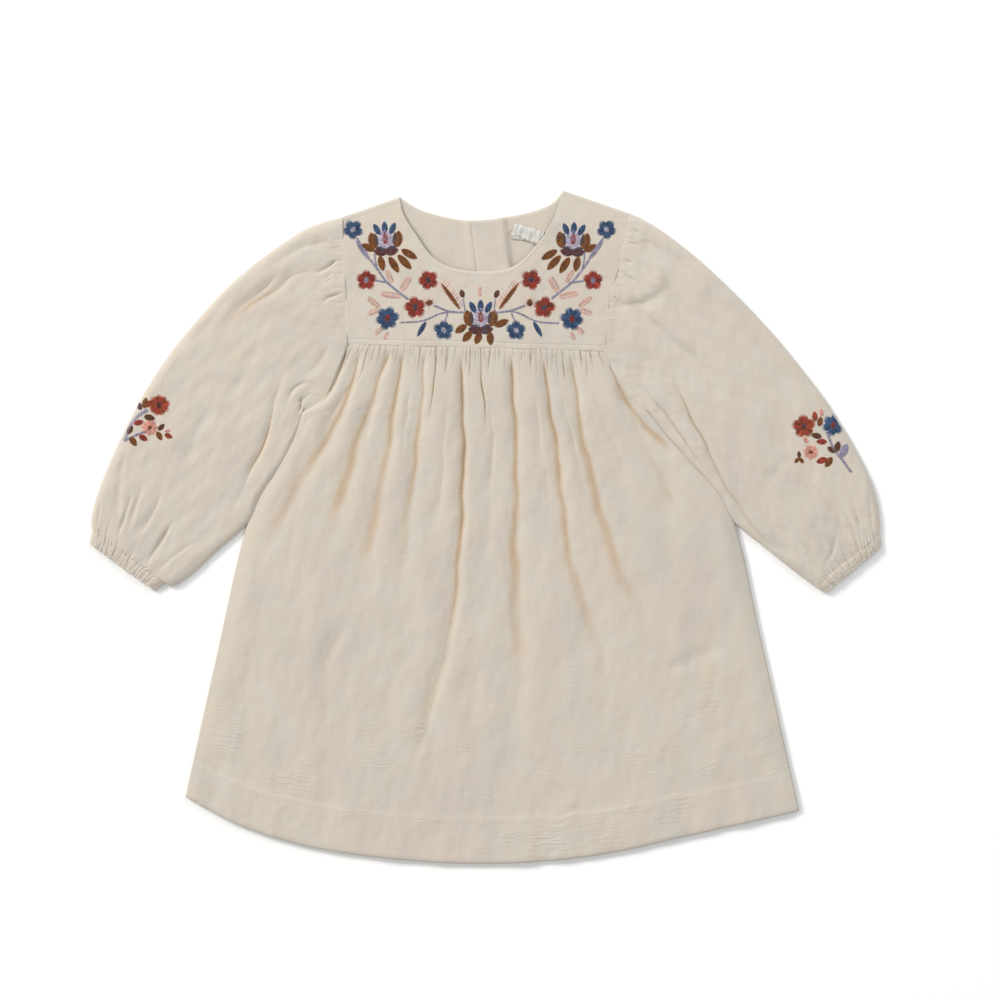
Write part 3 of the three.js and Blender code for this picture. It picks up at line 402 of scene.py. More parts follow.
def trough(fold, x, y):
    """How far a fold presses the cloth down at points, then its sharp bottom and its soft trough, which are
    painted as shade.

    Its flank on the left hand of the path's direction is steep, the other one is gentle, and it fades
    towards its end."""
    line = fold["line"]
    reach = 5 * max(fold["start"], fold["end"])
    low, high = line.min(0) - reach, line.max(0) + reach
    near = (x > low[0]) & (x < high[0]) & (y > low[1]) & (y < high[1])
    pressed, sharp, dip = (np.zeros(x.shape) for _ in range(3))
    if not near.any():
        return pressed, sharp, dip
    away, share, hand = nearest(line, x[near], y[near])
    width = mix(fold["start"], fold["end"], share)
    depth = fold["depth"] * (0.86 + 0.14 * np.sin(11 * share + line[0, 0]))
    if fold["fade_in"]:
        depth = depth * smooth(share, 0, fold["fade_in"])
    rounding = 0.3 + 0.05 * width
    beyond = np.sqrt(away**2 + rounding**2) - rounding
    flank = width * np.where(hand > 0, STEEP, GENTLE)
    crisp = depth * (1 - smooth(share, 0.4, 1)) * np.minimum(1, 2.4 / width) ** 1.1
    soft = 1.12 * fold["body"] * depth * (1 - smooth(share, 0.66, 1))
    pressed[near] = 0.45 * crisp * np.exp(-beyond / (0.6 * flank)) + 0.55 * soft * bell(away, 0, 1.4 * flank)
    sharp[near] = crisp * bell(away, 0, 0.36 + 0.14 * width)
    dip[near] = soft * bell(away, 0, 0.75 * flank)
    return pressed, sharp, dip


def press(folds, x, y):
    """Some folds together: how far they press, and the painted shade of their sharp bottoms and soft troughs.
    """
    pressed, sharp, dip = (np.zeros(x.shape) for _ in range(3))
    for fold in folds:
        down, bottom, soft = trough(fold, x, y)
        pressed += down
        sharp = np.maximum(sharp, bottom)
        dip = np.maximum(dip, soft)
    return pressed, sharp, dip


def seam_share(x):
    """Share across the yoke seam."""
    return (x - YOKE_LEFT[0]) / (YOKE_RIGHT[0] - YOKE_LEFT[0])


def seam_y(x):
    return mix(YOKE_LEFT[1], YOKE_RIGHT[1], seam_share(x))


def front_level(x, y):
    """Top of the front ply before any fold."""
    shoulder_y = np.interp(x, *zip(SHOULDER_LEFT, NECK_LEFT, NECK_RIGHT, SHOULDER_RIGHT))
    over_placket = 1 - smooth(np.abs(x), 22, 95)
    rise = FRONT_AT_ARMHOLE - FRONT_LOW + (FRONT_OVER_PLACKET - FRONT_AT_ARMHOLE) * over_placket
    return FRONT_LOW + rise * smooth(shoulder_y - y, 0, 26) + CLOTH


skirt_left = Path(ARMHOLE_LEFT_LOWER, SIDE_LEFT)
skirt_right = Path(ARMHOLE_RIGHT_LOWER, SIDE_RIGHT)
armhole_left = Path(ARMHOLE_LEFT_UPPER, ARMHOLE_LEFT_LOWER)
armhole_right = Path(ARMHOLE_RIGHT_UPPER, ARMHOLE_RIGHT_LOWER)
hem_path = Path(HEM)


def skirt_point(across, down):
    """Points of the skirt by their shares across and down, two arrays of one shape."""
    side = across[..., None]
    point = mix(skirt_left.at(down), skirt_right.at(down), side)
    hem_chord = mix(skirt_left.at(1), skirt_right.at(1), side)
    return point + (hem_path.at(across) - hem_chord) * down[..., None] ** 2


def led_seams():
    """Where the long folds start, as shares across the yoke seam."""
    return np.array([seam_share(points[0][0]) for points, *_ in SKIRT_FOLDS[:LED_FOLDS]])


def guided_shares(shares, downs):
    """Shares across for each row, so that the columns follow the long folds."""
    paths = [Path(points) for points, *_ in SKIRT_FOLDS[:LED_FOLDS]]
    seams = led_seams()
    before = seams.copy()
    rows = []
    for down in downs:
        here = skirt_point(seams, np.full(seams.shape, down))
        left, right = skirt_left.at(down), skirt_right.at(down)
        for i, path in enumerate(paths):
            y = here[i, 1]
            if path.points[-1, 1] < y < path.points[0, 1]:
                before[i] = (path.x_at_y(y) - left[0]) / (right[0] - left[0])
        rows.append(np.interp(shares, [0, *seams, 1], [0, *before, 1]))
    return np.array(rows)


def gather_trace(x, lean, reach, width, depth):
    top = seam_y(x)
    points = [(x, top + 2), (x + lean * 0.4, top - reach * 0.5), (x + lean, top - reach)]
    return trace(points, width * 0.35, width * 0.5 + reach / 60, 0.62 * depth, body=0.3)


def fine_gathers():
    """Short creases close together all along the yoke seam."""
    rng = np.random.default_rng(31)
    xs = np.arange(-107, 93, 4.4) + rng.uniform(-1, 1, 46)
    return [gather_trace(x, x * 0.06, rng.uniform(8, 26), 0.9, rng.uniform(0.5, 1.0)) for x in xs]


# Mesh making


STRIDE = 4  # the inside of a shell has a point for each 4 of the outside, both ways


def over(x, y, z):
    """Points over a plan, at heights z."""
    return np.stack([x, y, z], -1)


def lowest(height):
    """The lowest height among the neighbours of each point, up to a stride away."""
    for axis in (0, 1):
        count = height.shape[axis]
        padded = np.pad(height, [(STRIDE, STRIDE) if a == axis else (0, 0) for a in (0, 1)], mode="edge")
        shifted = [np.take(padded, range(k, k + count), axis=axis) for k in range(2 * STRIDE + 1)]
        height = np.minimum.reduce(shifted)
    return height


def grid_quads(rows, columns, ringed, base=0):
    r, c = np.meshgrid(np.arange(rows - 1), np.arange(columns if ringed else columns - 1), indexing="ij")
    r, c = r.ravel(), c.ravel()
    nxt = (c + 1) % columns
    corners = [r * columns + c, (r + 1) * columns + c, (r + 1) * columns + nxt, r * columns + nxt]
    return np.stack(corners, -1) + base


def rims(outside, inside, backwards):
    """Faces that join an edge of the outside to the same edge of the inside."""
    faces = []
    for k in range(len(inside) - 1):
        face = [*outside[k * STRIDE:(k + 1) * STRIDE + 1], inside[k + 1], inside[k]]
        faces.append(face[::-1] if backwards else face)
    return faces


def outward(points, quads):
    """Whether the faces of a closed shell look outwards, by the sign of its volume."""
    a, b, c, d = (points[quads[:, k]] for k in range(4))
    area = np.cross(c - a, d - b)[:, 2] / 2
    return (area * (a + b + c + d)[:, 2]).sum() > 0


def cloth_uv(points):
    """Distances across and along a grid, in centimetres, for the weave and the crepe."""
    across, along = distances(points, 1), distances(points, 0)
    return np.stack([np.broadcast_to(across[len(across) // 2], across.shape), along], -1) / 10


def add_object(name, data):
    obj = bpy.data.objects.new(name, data)
    bpy.context.scene.collection.objects.link(obj)
    return obj


def shell(name, outer, inner, material, ringed=False, marks=None, uv=None):
    """A closed thin shell between two grids of points in mm, as an object in metres."""
    inner = inner[::STRIDE, ::STRIDE]
    base = outer.shape[0] * outer.shape[1]
    points = np.concatenate([outer.reshape(-1, 3), inner.reshape(-1, 3)]) * MM
    top = grid_quads(*outer.shape[:2], ringed)
    under = grid_quads(*inner.shape[:2], ringed, base)[:, ::-1]
    outside = np.arange(base).reshape(outer.shape[:2])
    inside = np.arange(base, len(points)).reshape(inner.shape[:2])
    if ringed:
        outside, inside = (np.concatenate([grid, grid[:, :1]], 1) for grid in (outside, inside))
    edges = rims(outside[0], inside[0], False) + rims(outside[-1], inside[-1], True)
    if not ringed:
        edges += rims(outside[:, 0], inside[:, 0], True) + rims(outside[:, -1], inside[:, -1], False)
    faces = top.tolist() + under.tolist() + edges
    if not outward(points, np.concatenate([top, under])):
        faces = [face[::-1] for face in faces]
    mesh = bpy.data.meshes.new(name)
    mesh.from_pydata(points.tolist(), [], faces)
    uv = cloth_uv(outer) if uv is None else uv
    uv = np.concatenate([uv.reshape(-1, 2), uv[::STRIDE, ::STRIDE].reshape(-1, 2)])
    corner = np.empty(len(mesh.loops), np.int32)
    mesh.loops.foreach_get("vertex_index", corner)
    mesh.uv_layers.new(name="cloth").data.foreach_set("uv", uv[corner].astype(np.float32).ravel())
    for key, values in (marks or {}).items():
        everywhere = np.pad(values.astype(np.float32).ravel(), (0, len(points) - base))
        mesh.attributes.new(key, "FLOAT", "POINT").data.foreach_set("value", everywhere)
    mesh.polygons.foreach_set("use_smooth", np.arange(len(faces)) < len(top) + len(under))
    mesh.materials.append(material)
    mesh.update()
    return add_object(name, mesh)


def cloth_piece(node, outer, inner, cut, rests_on=(), **shape):
    """A piece of cloth that stands for one CAD node."""
    piece = shell(f"{node}_cloth", outer, inner, cloth, **shape)
    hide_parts(node)
    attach(piece, "root")
    return piece


# Materials


class Nodes:
    """A material whose shader nodes are added and linked one by one."""

    def __init__(self, name):
        self.material = bpy.data.materials.new(name)
        self.material.use_nodes = True
        self.tree = self.material.node_tree
        self.tree.nodes.clear()

    def add(self, kind, settings=None, **inputs):
        """A node with its inputs by name, or by number as in0, in1 and so on."""
        node = self.tree.nodes.new("ShaderNode" + kind)
        for key, value in (settings or {}).items():
            setattr(node, key, value)
        for key, value in inputs.items():
            socket = node.inputs[int(key[2:]) if key[2:].isdigit() else key.replace("_", " ")]
            if isinstance(value, bpy.types.NodeSocket):
                self.tree.links.new(value, socket)
            else:
                socket.default_value = value
        return node

    def place(self, kind):
        return self.add("TexCoord").outputs[kind]

    def attribute(self, name, output="Fac"):
        return self.add("Attribute", {"attribute_name": name}).outputs[output]

    def noise(self, place, scale, detail=3.0, roughness=0.5, distortion=0.0):
        mapped = self.add("Mapping", Vector=place, Scale=scale).outputs[0]
        node = self.add("TexNoise", Vector=mapped, Scale=1.0, Detail=detail, Roughness=roughness,
                        Distortion=distortion)
        return node.outputs[0]

    def times(self, a, b):
        return self.add("Math", {"operation": "MULTIPLY"}, in0=a, in1=b).outputs[0]

    def plus(self, a, b):
        return self.add("Math", {"operation": "ADD"}, in0=a, in1=b).outputs[0]

    def scaled(self, a, factor, offset):
        return self.add("Math", {"operation": "MULTIPLY_ADD"}, in0=a, in1=factor, in2=offset).outputs[0]

    def mix(self, factor, a, b):
        return self.add("Mix", {"data_type": "RGBA"}, in0=factor, in6=a, in7=b).outputs[2]

    def ramp(self, value, low, high):
        settings = {"interpolation_type": "SMOOTHSTEP"}
        return self.add("MapRange", settings, Value=value, From_Min=low, From_Max=high).outputs[0]

    def finish(self, colour, roughness, relief=None, strength=0.5, distance=0.0001, **more):
        """The shader, its bump and the output; more are further inputs of the shader."""
        if relief is not None:
            more["Normal"] = self.add("Bump", Height=relief, Strength=strength, Distance=distance).outputs[0]
        shader = self.add("BsdfPrincipled", Base_Color=colour, Roughness=roughness, **more)
        self.add("OutputMaterial", Surface=shader.outputs[0])
        return self.material


def linear(r, g, b):
    """A colour given in display values from 0 to 255."""
    values = [c / 255 for c in (r, g, b)]
    return (*[c / 12.92 if c <= 0.04045 else ((c + 0.055) / 1.055) ** 2.4 for c in values], 1)


CREAM = linear(197, 190, 179)
CREAM_WARM = linear(200, 186, 167)
CREAM_PINK = linear(202, 187, 173)
CREAM_GREY = linear(187, 182, 173)
# Painted shade: tan in the fold troughs and dark along their sharp bottoms, where the cloth tucks in
TROUGH_SHADE_TAN = linear(186, 163, 136)
CREASE_SHADE_DARK = linear(142, 122, 94)


def gauze_relief(n, uv, along, dip, patches, streaks, soft):
    """Lengthwise crepe, crosswise crinkles in the folds and at the hem, streaks, soft bumps and grain."""
    crepe = n.noise(uv, (9, 0.8, 1), 2.0, distortion=0.1)
    crinkle = n.noise(uv, (1.15, 4.6, 1), 1.5, 0.55, 0.9)
    crinkled = n.ramp(n.noise(uv, (0.3, 0.25, 1), 1.0, distortion=0.4), 0.46, 0.66)
    in_folds = n.times(n.ramp(dip, 0.0, 3.0), n.scaled(n.ramp(along, 22.0, 30.0), 0.7, 0.1))
    at_hem = n.scaled(n.ramp(along, 27.0, 36.0), 0.5, 0.26)
    layers = [
        n.times(crepe, n.scaled(patches, 0.12, 0.05)),
        n.times(n.times(crinkle, crinkled), n.times(n.plus(in_folds, at_hem), 0.62)),
        n.times(streaks, n.scaled(n.ramp(dip, 0.3, 2.4), 0.2, 0.06)),
        n.times(soft, 0.5),
        n.times(n.noise(uv, (14, 11, 1), 1.0), 0.055),
    ]
    return reduce(n.plus, layers)


def gauze_colour(n, uv, along, dip, patches, streaks, soft):
    """Uneven ecru, greyer in places, with painted tan shade in the troughs and painted dark shade along their
    sharp bottoms.
    """
    mottled = n.mix(n.times(n.ramp(soft, 0.35, 0.7), 0.5), CREAM, CREAM_WARM)
    pinkish = n.mix(n.times(patches, 0.5), mottled, CREAM_PINK)
    clouds = n.ramp(n.noise(uv, (0.2, 0.13, 1), 2.0, 0.55, 0.3), 0.42, 0.7)
    greyish = n.mix(n.times(clouds, 0.55), pinkish, CREAM_GREY)
    # How strongly the painted shade shows: uneven, and weaker towards the hem
    uneven = n.scaled(n.plus(soft, n.times(streaks, 0.35)), 0.9, 0.24)
    uneven = n.times(uneven, n.scaled(n.ramp(along, 14.0, 26.0), -0.72, 1.0))
    # Painted tan shade in the soft troughs of the folds
    trough_shaded = n.mix(n.times(n.ramp(dip, 0.3, 3.1), uneven), greyish, TROUGH_SHADE_TAN)
    # Painted dark shade along the sharp bottoms of folds, gathers and stitched grooves
    return n.mix(n.times(n.ramp(n.attribute("fold"), 0.2, 3.2), uneven), trough_shaded, CREASE_SHADE_DARK)


def gauze_material():
    """Crinkled double gauze, by centimetres across and along each piece."""
    n = Nodes("double_gauze")
    uv = n.place("UV")
    along = n.add("SeparateXYZ", Vector=uv).outputs[1]
    patches = n.ramp(n.noise(uv, (0.22, 0.12, 1), 1.0), 0.42, 0.66)
    streaks = n.noise(uv, (4.4, 0.4, 1), 1.5, 0.6, 0.3)
    soft = n.noise(uv, (0.7, 0.45, 1))
    shared = (n, uv, along, n.attribute("dip"), patches, streaks, soft)
    return n.finish(gauze_colour(*shared), 0.92, gauze_relief(*shared), 1.0, 0.0015, Specular_IOR_Level=0.18,
                    Sheen_Weight=0.2, Sheen_Roughness=0.6)


def thread_material():
    """Embroidery thread in the colour of each stitch, with a fine twist and a soft gloss."""
    n = Nodes("thread")
    twist = n.noise(n.place("Object"), (2600, 2600, 2600), 1.0)
    shaded = n.mix(n.times(twist, 0.15), n.attribute("thread", "Color"), (0.02, 0.02, 0.02, 1))
    return n.finish(shaded, 0.6, twist, Sheen_Weight=0.15)


def label_material():
    """Plain woven tape with a satin gloss."""
    n = Nodes("label_tape")
    ribs = n.noise(n.place("Object"), (900, 2600, 900), 1.0)
    colour = n.mix(ribs, linear(208, 206, 202), linear(186, 183, 178))
    return n.finish(colour, 0.45, ribs, Sheen_Weight=0.2)


def button_material():
    n = Nodes("button_shell")
    cloud = n.noise(n.place("Object"), (240, 240, 240), distortion=1.0)
    return n.finish(n.mix(cloud, linear(232, 224, 208), linear(205, 196, 180)), 0.3, cloud, 0.15)


cloth = gauze_material()
thread = thread_material()


# Front skirt and yoke


# Rows of a grid: share at which a stretch starts, count of rows in it
SKIRT_ROWS = [(0, 10), (0.02, 44), (0.2, 111), (0.92, 23)]
YOKE_ROWS = [(0, 20), (0.07, 60), (0.93, 16)]
SKIRT_COLUMNS = 461
CROWDING = 55  # how narrowly the columns crowd about each long fold
NECK_POINTS = 169
SHOULDER_POINTS = 45
FAN_WIDTH = 36  # of the skirt in its weave, in centimetres


def row_shares(stretches):
    """Shares from 0 to 1, with the rows that each stretch has."""
    starts, counts = zip(*stretches)
    parts = [np.linspace(a, b, n, endpoint=False) for a, b, n in zip(starts, [*starts[1:], 1], counts)]
    return np.concatenate([*parts, [1]])


def crowded(places):
    """Shares across for the skirt's columns, which stand closer together around some places."""
    t = np.linspace(0, 1, 4001)
    density = 1 + sum(1.6 * bell(t, place, 1 / CROWDING) for place in places)
    total = np.concatenate([[0], np.cumsum((density[1:] + density[:-1]) / 2)])
    return np.interp(np.linspace(0, total[-1], SKIRT_COLUMNS), total, t)


def fan_uv(points):
    """Distances across and along the skirt, in centimetres, that fan out evenly from the seam."""
    x = points[..., 0]
    share = (x - x[:, :1]) / (x[:, -1:] - x[:, :1])
    return np.stack([share * FAN_WIDTH, cloth_uv(points)[..., 1]], -1)


def turned_down(height, x, from_corner):
    """Heights of the skirt with both of its sides rounded down to the ply below."""
    from_edge = np.minimum(x - x[:, :1], x[:, -1:] - x)
    at_edge = mix(4.0, FRONT_LOW + CLOTH, smooth(from_corner, 110, 160))
    radius = mix(9, 15, smooth(from_corner, 60, 180))
    turned = np.sin(np.clip(from_edge / radius, 0, 1) * math.pi / 2)
    return mix(np.minimum(at_edge, height), height, turned)


def front_skirt():
    downs = row_shares(SKIRT_ROWS)
    across = guided_shares(crowded(led_seams()), downs)
    down = np.broadcast_to(downs[:, None], across.shape)
    x, y = np.moveaxis(skirt_point(across, down), -1, 0)
    y = y + TUCKED * fading(down, 0.014)
    below = seam_y(x) - y
    level = mix(front_level(x, seam_y(x)) + 0.2, SKIRT_CREST, smooth(below, 0, 50))
    level = mix(level, SKIRT_AT_HEM, smooth(below, 150, 400))
    folds = [gather_trace(*row) for row in YOKE_GATHERS] + fine_gathers()
    lines = press(folds, x, y)[1]
    folds += [trace(*row, fade_in=0.07) for row in SKIRT_FOLDS[:LED_FOLDS]]
    folds += [trace(*row, fade_in=0.2) for row in SKIRT_FOLDS[LED_FOLDS:] + SKIRT_CREASES]
    pressed, sharp, dip = press(folds, x, y)
    pressed = pressed * (0.2 + 0.8 * smooth(below, -0.5, 14))
    uneven = unevenness("front_skirt", x, y) * smooth(below, 4, 60)
    height = np.maximum(level - pressed + uneven, FRONT_LOW + CLOTH)
    from_corner = down * skirt_left.total
    height = turned_down(height, x, from_corner)
    to_hem = skirt_left.total - from_corner
    height = height + HEM_PLY * (1 - smooth(to_hem, HEM_DEPTH - 2.0, HEM_DEPTH)) - 0.9 * fading(to_hem, 2.2)
    height = height - 0.5 * (1 - smooth(below, -0.5, 2.0))
    outer = over(x, y, height)
    inner = over(x, y, np.maximum(lowest(height) - SHELL, FRONT_LOW - 0.1))
    # Painted shade: dark along the bottoms of the folds and gathers, tan in the soft troughs
    marks = {"fold": np.maximum(sharp, 5.0 * lines), "dip": dip * smooth(below, 0, 12)}
    return cloth_piece("front_skirt", outer, inner, "skirt", "back_skirt_cloth", marks=marks,
                       uv=fan_uv(outer))


def bulged(lower, upper, ups, *sides):
    """Rows of points between two edges; each side gives its armhole, its column and its share inwards."""
    grid = mix(lower[None], upper[None], ups[:, None, None])
    for armhole, column, share in sides:
        bulge = Path(armhole).at(1 - ups) - grid[:, column]
        grid = grid + bulge[:, None] * np.maximum(0, share)[None, :, None]
    return grid


def yoke_edges():
    """Points along the yoke seam, and along both shoulders and the neck."""
    left = np.linspace(SHOULDER_LEFT, NECK_LEFT, SHOULDER_POINTS)
    right = np.linspace(NECK_RIGHT, SHOULDER_RIGHT, SHOULDER_POINTS)
    upper = np.vstack([left[:-1], Path(FRONT_NECK).at(np.linspace(0, 1, NECK_POINTS)), right[1:]])
    share = (upper[:, 0] - SHOULDER_LEFT[0]) / (SHOULDER_RIGHT[0] - SHOULDER_LEFT[0])
    x = mix(YOKE_LEFT[0], YOKE_RIGHT[0], share)
    return np.stack([x, seam_y(x)], -1), upper


def front_yoke():
    lower, upper = yoke_edges()
    ups = row_shares(YOKE_ROWS)
    share = np.linspace(0, 1, len(lower))
    x, y = np.moveaxis(bulged(lower, upper, ups, (ARMHOLE_LEFT_UPPER, 0, 1 - 5 * share),
                              (ARMHOLE_RIGHT_UPPER, -1, 5 * share - 4)), -1, 0)
    run = np.hypot(*(upper - lower).T)
    to_top, to_seam = (1 - ups[:, None]) * run, ups[:, None] * run
    to_side = np.minimum(np.abs(x - x[:, :1]), np.abs(x[:, -1:] - x))
    stitched = bell(to_seam, 4.4, 0.55) + 0.5 * bell(to_top, 4.5, 0.6)
    edges = 0.6 * fading(to_top, 1.8) + 0.3 * fading(to_seam, 1.0) + 0.15 * fading(to_side, 1.2)
    height = front_level(x, y) + unevenness("front_yoke", x, y) - edges - 0.28 * stitched
    # Painted dark shade along the stitched grooves
    return cloth_piece("front_yoke", over(x, y, height), over(x, y, height - SHELL), "front_yoke",
                       "back_yoke_left_cloth", marks={"fold": 0.5 * stitched})


# By side: its word, then the yoke's corners and its armhole
WORDS = {-1: "left", 1: "right"}
YOKE_CORNERS = {
    -1: (SHOULDER_LEFT, YOKE_LEFT, NECK_LEFT, ARMHOLE_LEFT_UPPER),
    1: (SHOULDER_RIGHT, YOKE_RIGHT, NECK_RIGHT, ARMHOLE_RIGHT_UPPER),
}
BACK_SEAM_Y = 139.5  # the back yoke's seam at the placket


def placket_x(y, offset):
    share = (y - PLACKET_LOW[1]) / (PLACKET_TOP[1] - PLACKET_LOW[1])
    return mix(PLACKET_LOW[0], PLACKET_TOP[0], share) + offset


def back_yoke(side, free_offset, free_z, slope_end):
    """One half of the back yoke, from its edge at the placket out to the armhole."""
    node = f"back_yoke_{WORDS[side]}"
    shoulder, corner, neck_corner, armhole = YOKE_CORNERS[side]
    neck = Path(BACK_NECK).points
    high_x = placket_x(PLACKET_TOP[1], free_offset)
    outwards = neck[::side]
    start = (high_x, np.interp(high_x, *neck.T))
    neck_part = np.vstack([start, outwards[(outwards[:, 0] - high_x) * side > 0]])
    lengths = distances(neck_part, 0)
    along = np.linspace(0, lengths[-1], 60)
    neck_part = np.stack([np.interp(along, lengths, neck_part[:, k]) for k in (0, 1)], -1)
    upper = np.vstack([neck_part, np.linspace(neck_corner, shoulder, 30)[1:]])
    share = np.abs(upper[:, 0] - high_x) / abs(shoulder[0] - high_x)
    lower = mix(np.array([placket_x(BACK_SEAM_Y, free_offset), BACK_SEAM_Y]),
                np.array([corner[0], corner[1] + 0.3]), share[:, None])
    ups = np.linspace(0, 1, 61)
    x, y = np.moveaxis(bulged(lower, upper, ups, (armhole, -1, 6 * share - 5)), -1, 0)
    offset = np.abs(x - placket_x(y, free_offset))
    to_top = (1 - ups[:, None]) * np.hypot(*(upper - lower).T)
    stitched = 0.15 * bell(to_top, 6, 0.8) + 0.2 * bell(offset, PLACKET_WIDTH - 1.5, 0.8)
    edges = 0.35 * fading(offset, 1.5) + 0.3 * fading(to_top, 1.5)
    lift = free_z * (1 - smooth(offset, slope_end - 6, slope_end))
    height = lift + BACK_TOP + unevenness(node, x, y) - edges - stitched
    inner = over(x, y, np.maximum(height - SHELL, 0))
    return cloth_piece(node, over(x, y, height), inner, "back_yoke")


def back_skirt():
    across, down = np.meshgrid(np.linspace(0, 1, 161), np.linspace(0, 1, 121))
    x, y = np.moveaxis(skirt_point(across, down), -1, 0)
    height = BACK_TOP + unevenness("back_skirt", x, y)
    return cloth_piece("back_skirt", over(x, y, height), over(x, y, np.zeros(x.shape)), "skirt")


# Sleeves and cuffs

EDGE_HEIGHT = 1.35
FRONT_ROUND = 9
BACK_ROUND = 2
SLEEVE_ROWS = 161
SLEEVE_FRONT = 300
CUFF_ROWS = 25
CUFF_FRONT = 240
RING_BACK = 60


def spread(end, count, crowd):
    """Rows from 0 to the end, closer together towards both."""
    t = np.linspace(0, 1, count)
    return end * (t - crowd * np.sin(2 * math.pi * t) / (2 * math.pi))


def between_rows(values, at):
    """A smooth curve through evenly spaced rows of values, read at any row."""
    v = np.array(values, float).reshape(len(values), -1)
    v = np.vstack([2 * v[0] - v[1], v, 2 * v[-1] - v[-2]])
    i = np.clip(np.floor(at).astype(int), 0, len(values) - 2)
    return between(v[i], v[i + 1], v[i + 2], v[i + 3], (at - i)[:, None])


def section_table(sections, side_points):
    """Outer points, underarm points and heights; a lone y of an underarm is put on the skirt's side."""
    side = Path(side_points)
    outer, under, heights = zip(*sections)
    under = [u if isinstance(u, tuple) else (float(side.x_at_y(u)), u) for u in under]
    return np.array(outer, float), np.array(under, float), heights


def section_plan(outer, under, armhole, row, share):
    """Points across the sections, two arrays of rows and shares; near the armhole they take its curve."""
    plan = mix(between_rows(outer, row)[:, None], between_rows(under, row)[:, None], share[..., None])
    fade = np.maximum(0, 1 - row[:, None] / 5) ** (1.5 + 7 * share**3)
    chord = mix(outer[0], under[0], share[..., None])
    return plan + (armhole.at(share) - chord) * fade[..., None]


def ring_shares(front):
    """Shares across for a ring of points: over the front, then back under it."""
    t = np.linspace(0, 1, front)
    ahead = mix(t, (1 - np.cos(t * math.pi)) / 2, 0.4)
    return np.concatenate([ahead, np.linspace(1, 0, RING_BACK + 2)[1:-1]])


def rounded(distance, radius):
    t = np.clip(distance / radius, 0, 1)
    return np.sqrt(1 - (1 - t) ** 2)


def tube(node, plan_at, height_at, front, rows, cut):
    """A flattened tube of cloth, ring by ring."""
    shares = ring_shares(front)
    share = np.broadcast_to(shares[None], (rows, len(shares)))
    ends = plan_at(np.broadcast_to(np.array([0.0, 1.0])[None], (rows, 2)))
    width = np.hypot(*np.moveaxis(ends[:, 1] - ends[:, 0], -1, 0))[:, None]
    is_front = np.arange(len(shares))[None] < front
    from_edge = np.minimum(share, 1 - share) * width
    over_front, over_back = rounded(from_edge, FRONT_ROUND), rounded(from_edge, BACK_ROUND)
    plan = plan_at(share)
    height, sharp, dip = height_at(plan[..., 0], plan[..., 1], share)
    top, back = mix(EDGE_HEIGHT, height, over_front), mix(EDGE_HEIGHT, 0, over_back)
    outer = np.concatenate([plan, np.where(is_front, top, back)[..., None]], -1)
    plan = plan_at(SHELL / width + share * (1 - 2 * SHELL / width))
    top = mix(EDGE_HEIGHT, np.maximum(lowest(height) - SHELL, FRONT_LOW), over_front)
    back = mix(EDGE_HEIGHT, SHELL, over_back)
    inner = np.concatenate([plan, np.where(is_front, top, back)[..., None]], -1)
    # Painted shade on the front ply only: dark at sharp bottoms, tan in the troughs
    marks = {"fold": np.where(is_front, sharp, 0), "dip": np.where(is_front, dip, 0)}
    return cloth_piece(node, outer, inner, cut, ringed=True, marks=marks)


def gathers(share, rows_away, table, width, lean):
    """Small creases that start at a seam, each with a steep and a gentle flank."""
    total = np.zeros(np.broadcast(share, rows_away).shape)
    for k, (at, reach, depth) in enumerate(table):
        off = share - at - lean * rows_away * math.sin(k * 2.4)
        wide = width * (0.7 + 0.5 * rows_away / reach) * np.where(off * (-1) ** k > 0, 0.7, 1.5)
        total += depth * np.exp(-np.abs(off) / wide) * np.maximum(0, 1 - rows_away / reach) ** 1.2
    return total


def sleeve(side, sections, side_points, armhole, folds, creases, head):
    node = f"sleeve_{WORDS[side]}"
    outer_points, under_points, heights = section_table(sections, side_points)
    last = len(sections) - 2
    row = spread(last, SLEEVE_ROWS, 0.45)
    marked = [trace(*fold, fade_in=0.3) for fold in folds]
    plain = [trace(*fold, fade_in=0.2) for fold in creases]
    level = between_rows(heights, row)
    from_head, from_cuff = row[:, None], (last - row)[:, None]

    def plan_at(share):
        plan = section_plan(outer_points, under_points, armhole, row, share)
        beside_skirt = 1 - smooth(from_head, 7, 9)
        shift = -1.2 * share * beside_skirt * smooth(from_head, 0, 1) - TUCKED * fading(from_head, 0.16)
        return plan + np.stack([side * shift, np.zeros(share.shape)], -1)

    def height_at(x, y, share):
        pressed, sharp, dip = press(marked, x, y)
        pressed += press(plain, x, y)[0]
        small = 0.75 * gathers(share, from_head, head, 0.0055, 0.004) * smooth(from_head, -0.1, 0.3)
        small = small + 1.1 * gathers(share, from_cuff, CUFF_GATHERS, 0.010, 0.006)
        seam = 0.15 * fading(from_head, 0.14) * smooth(share, 0.004, 0.03)
        height = level - 0.85 * pressed - small - seam + unevenness(node, x, y)
        height = np.maximum(height, FRONT_LOW + 0.6)
        # Marks for painted shade: dark at crease bottoms and gathers, tan in the troughs
        return height, np.maximum(1.1 * sharp, 1.6 * small), 0.7 * dip

    return tube(node, plan_at, height_at, SLEEVE_FRONT, SLEEVE_ROWS, "sleeve")


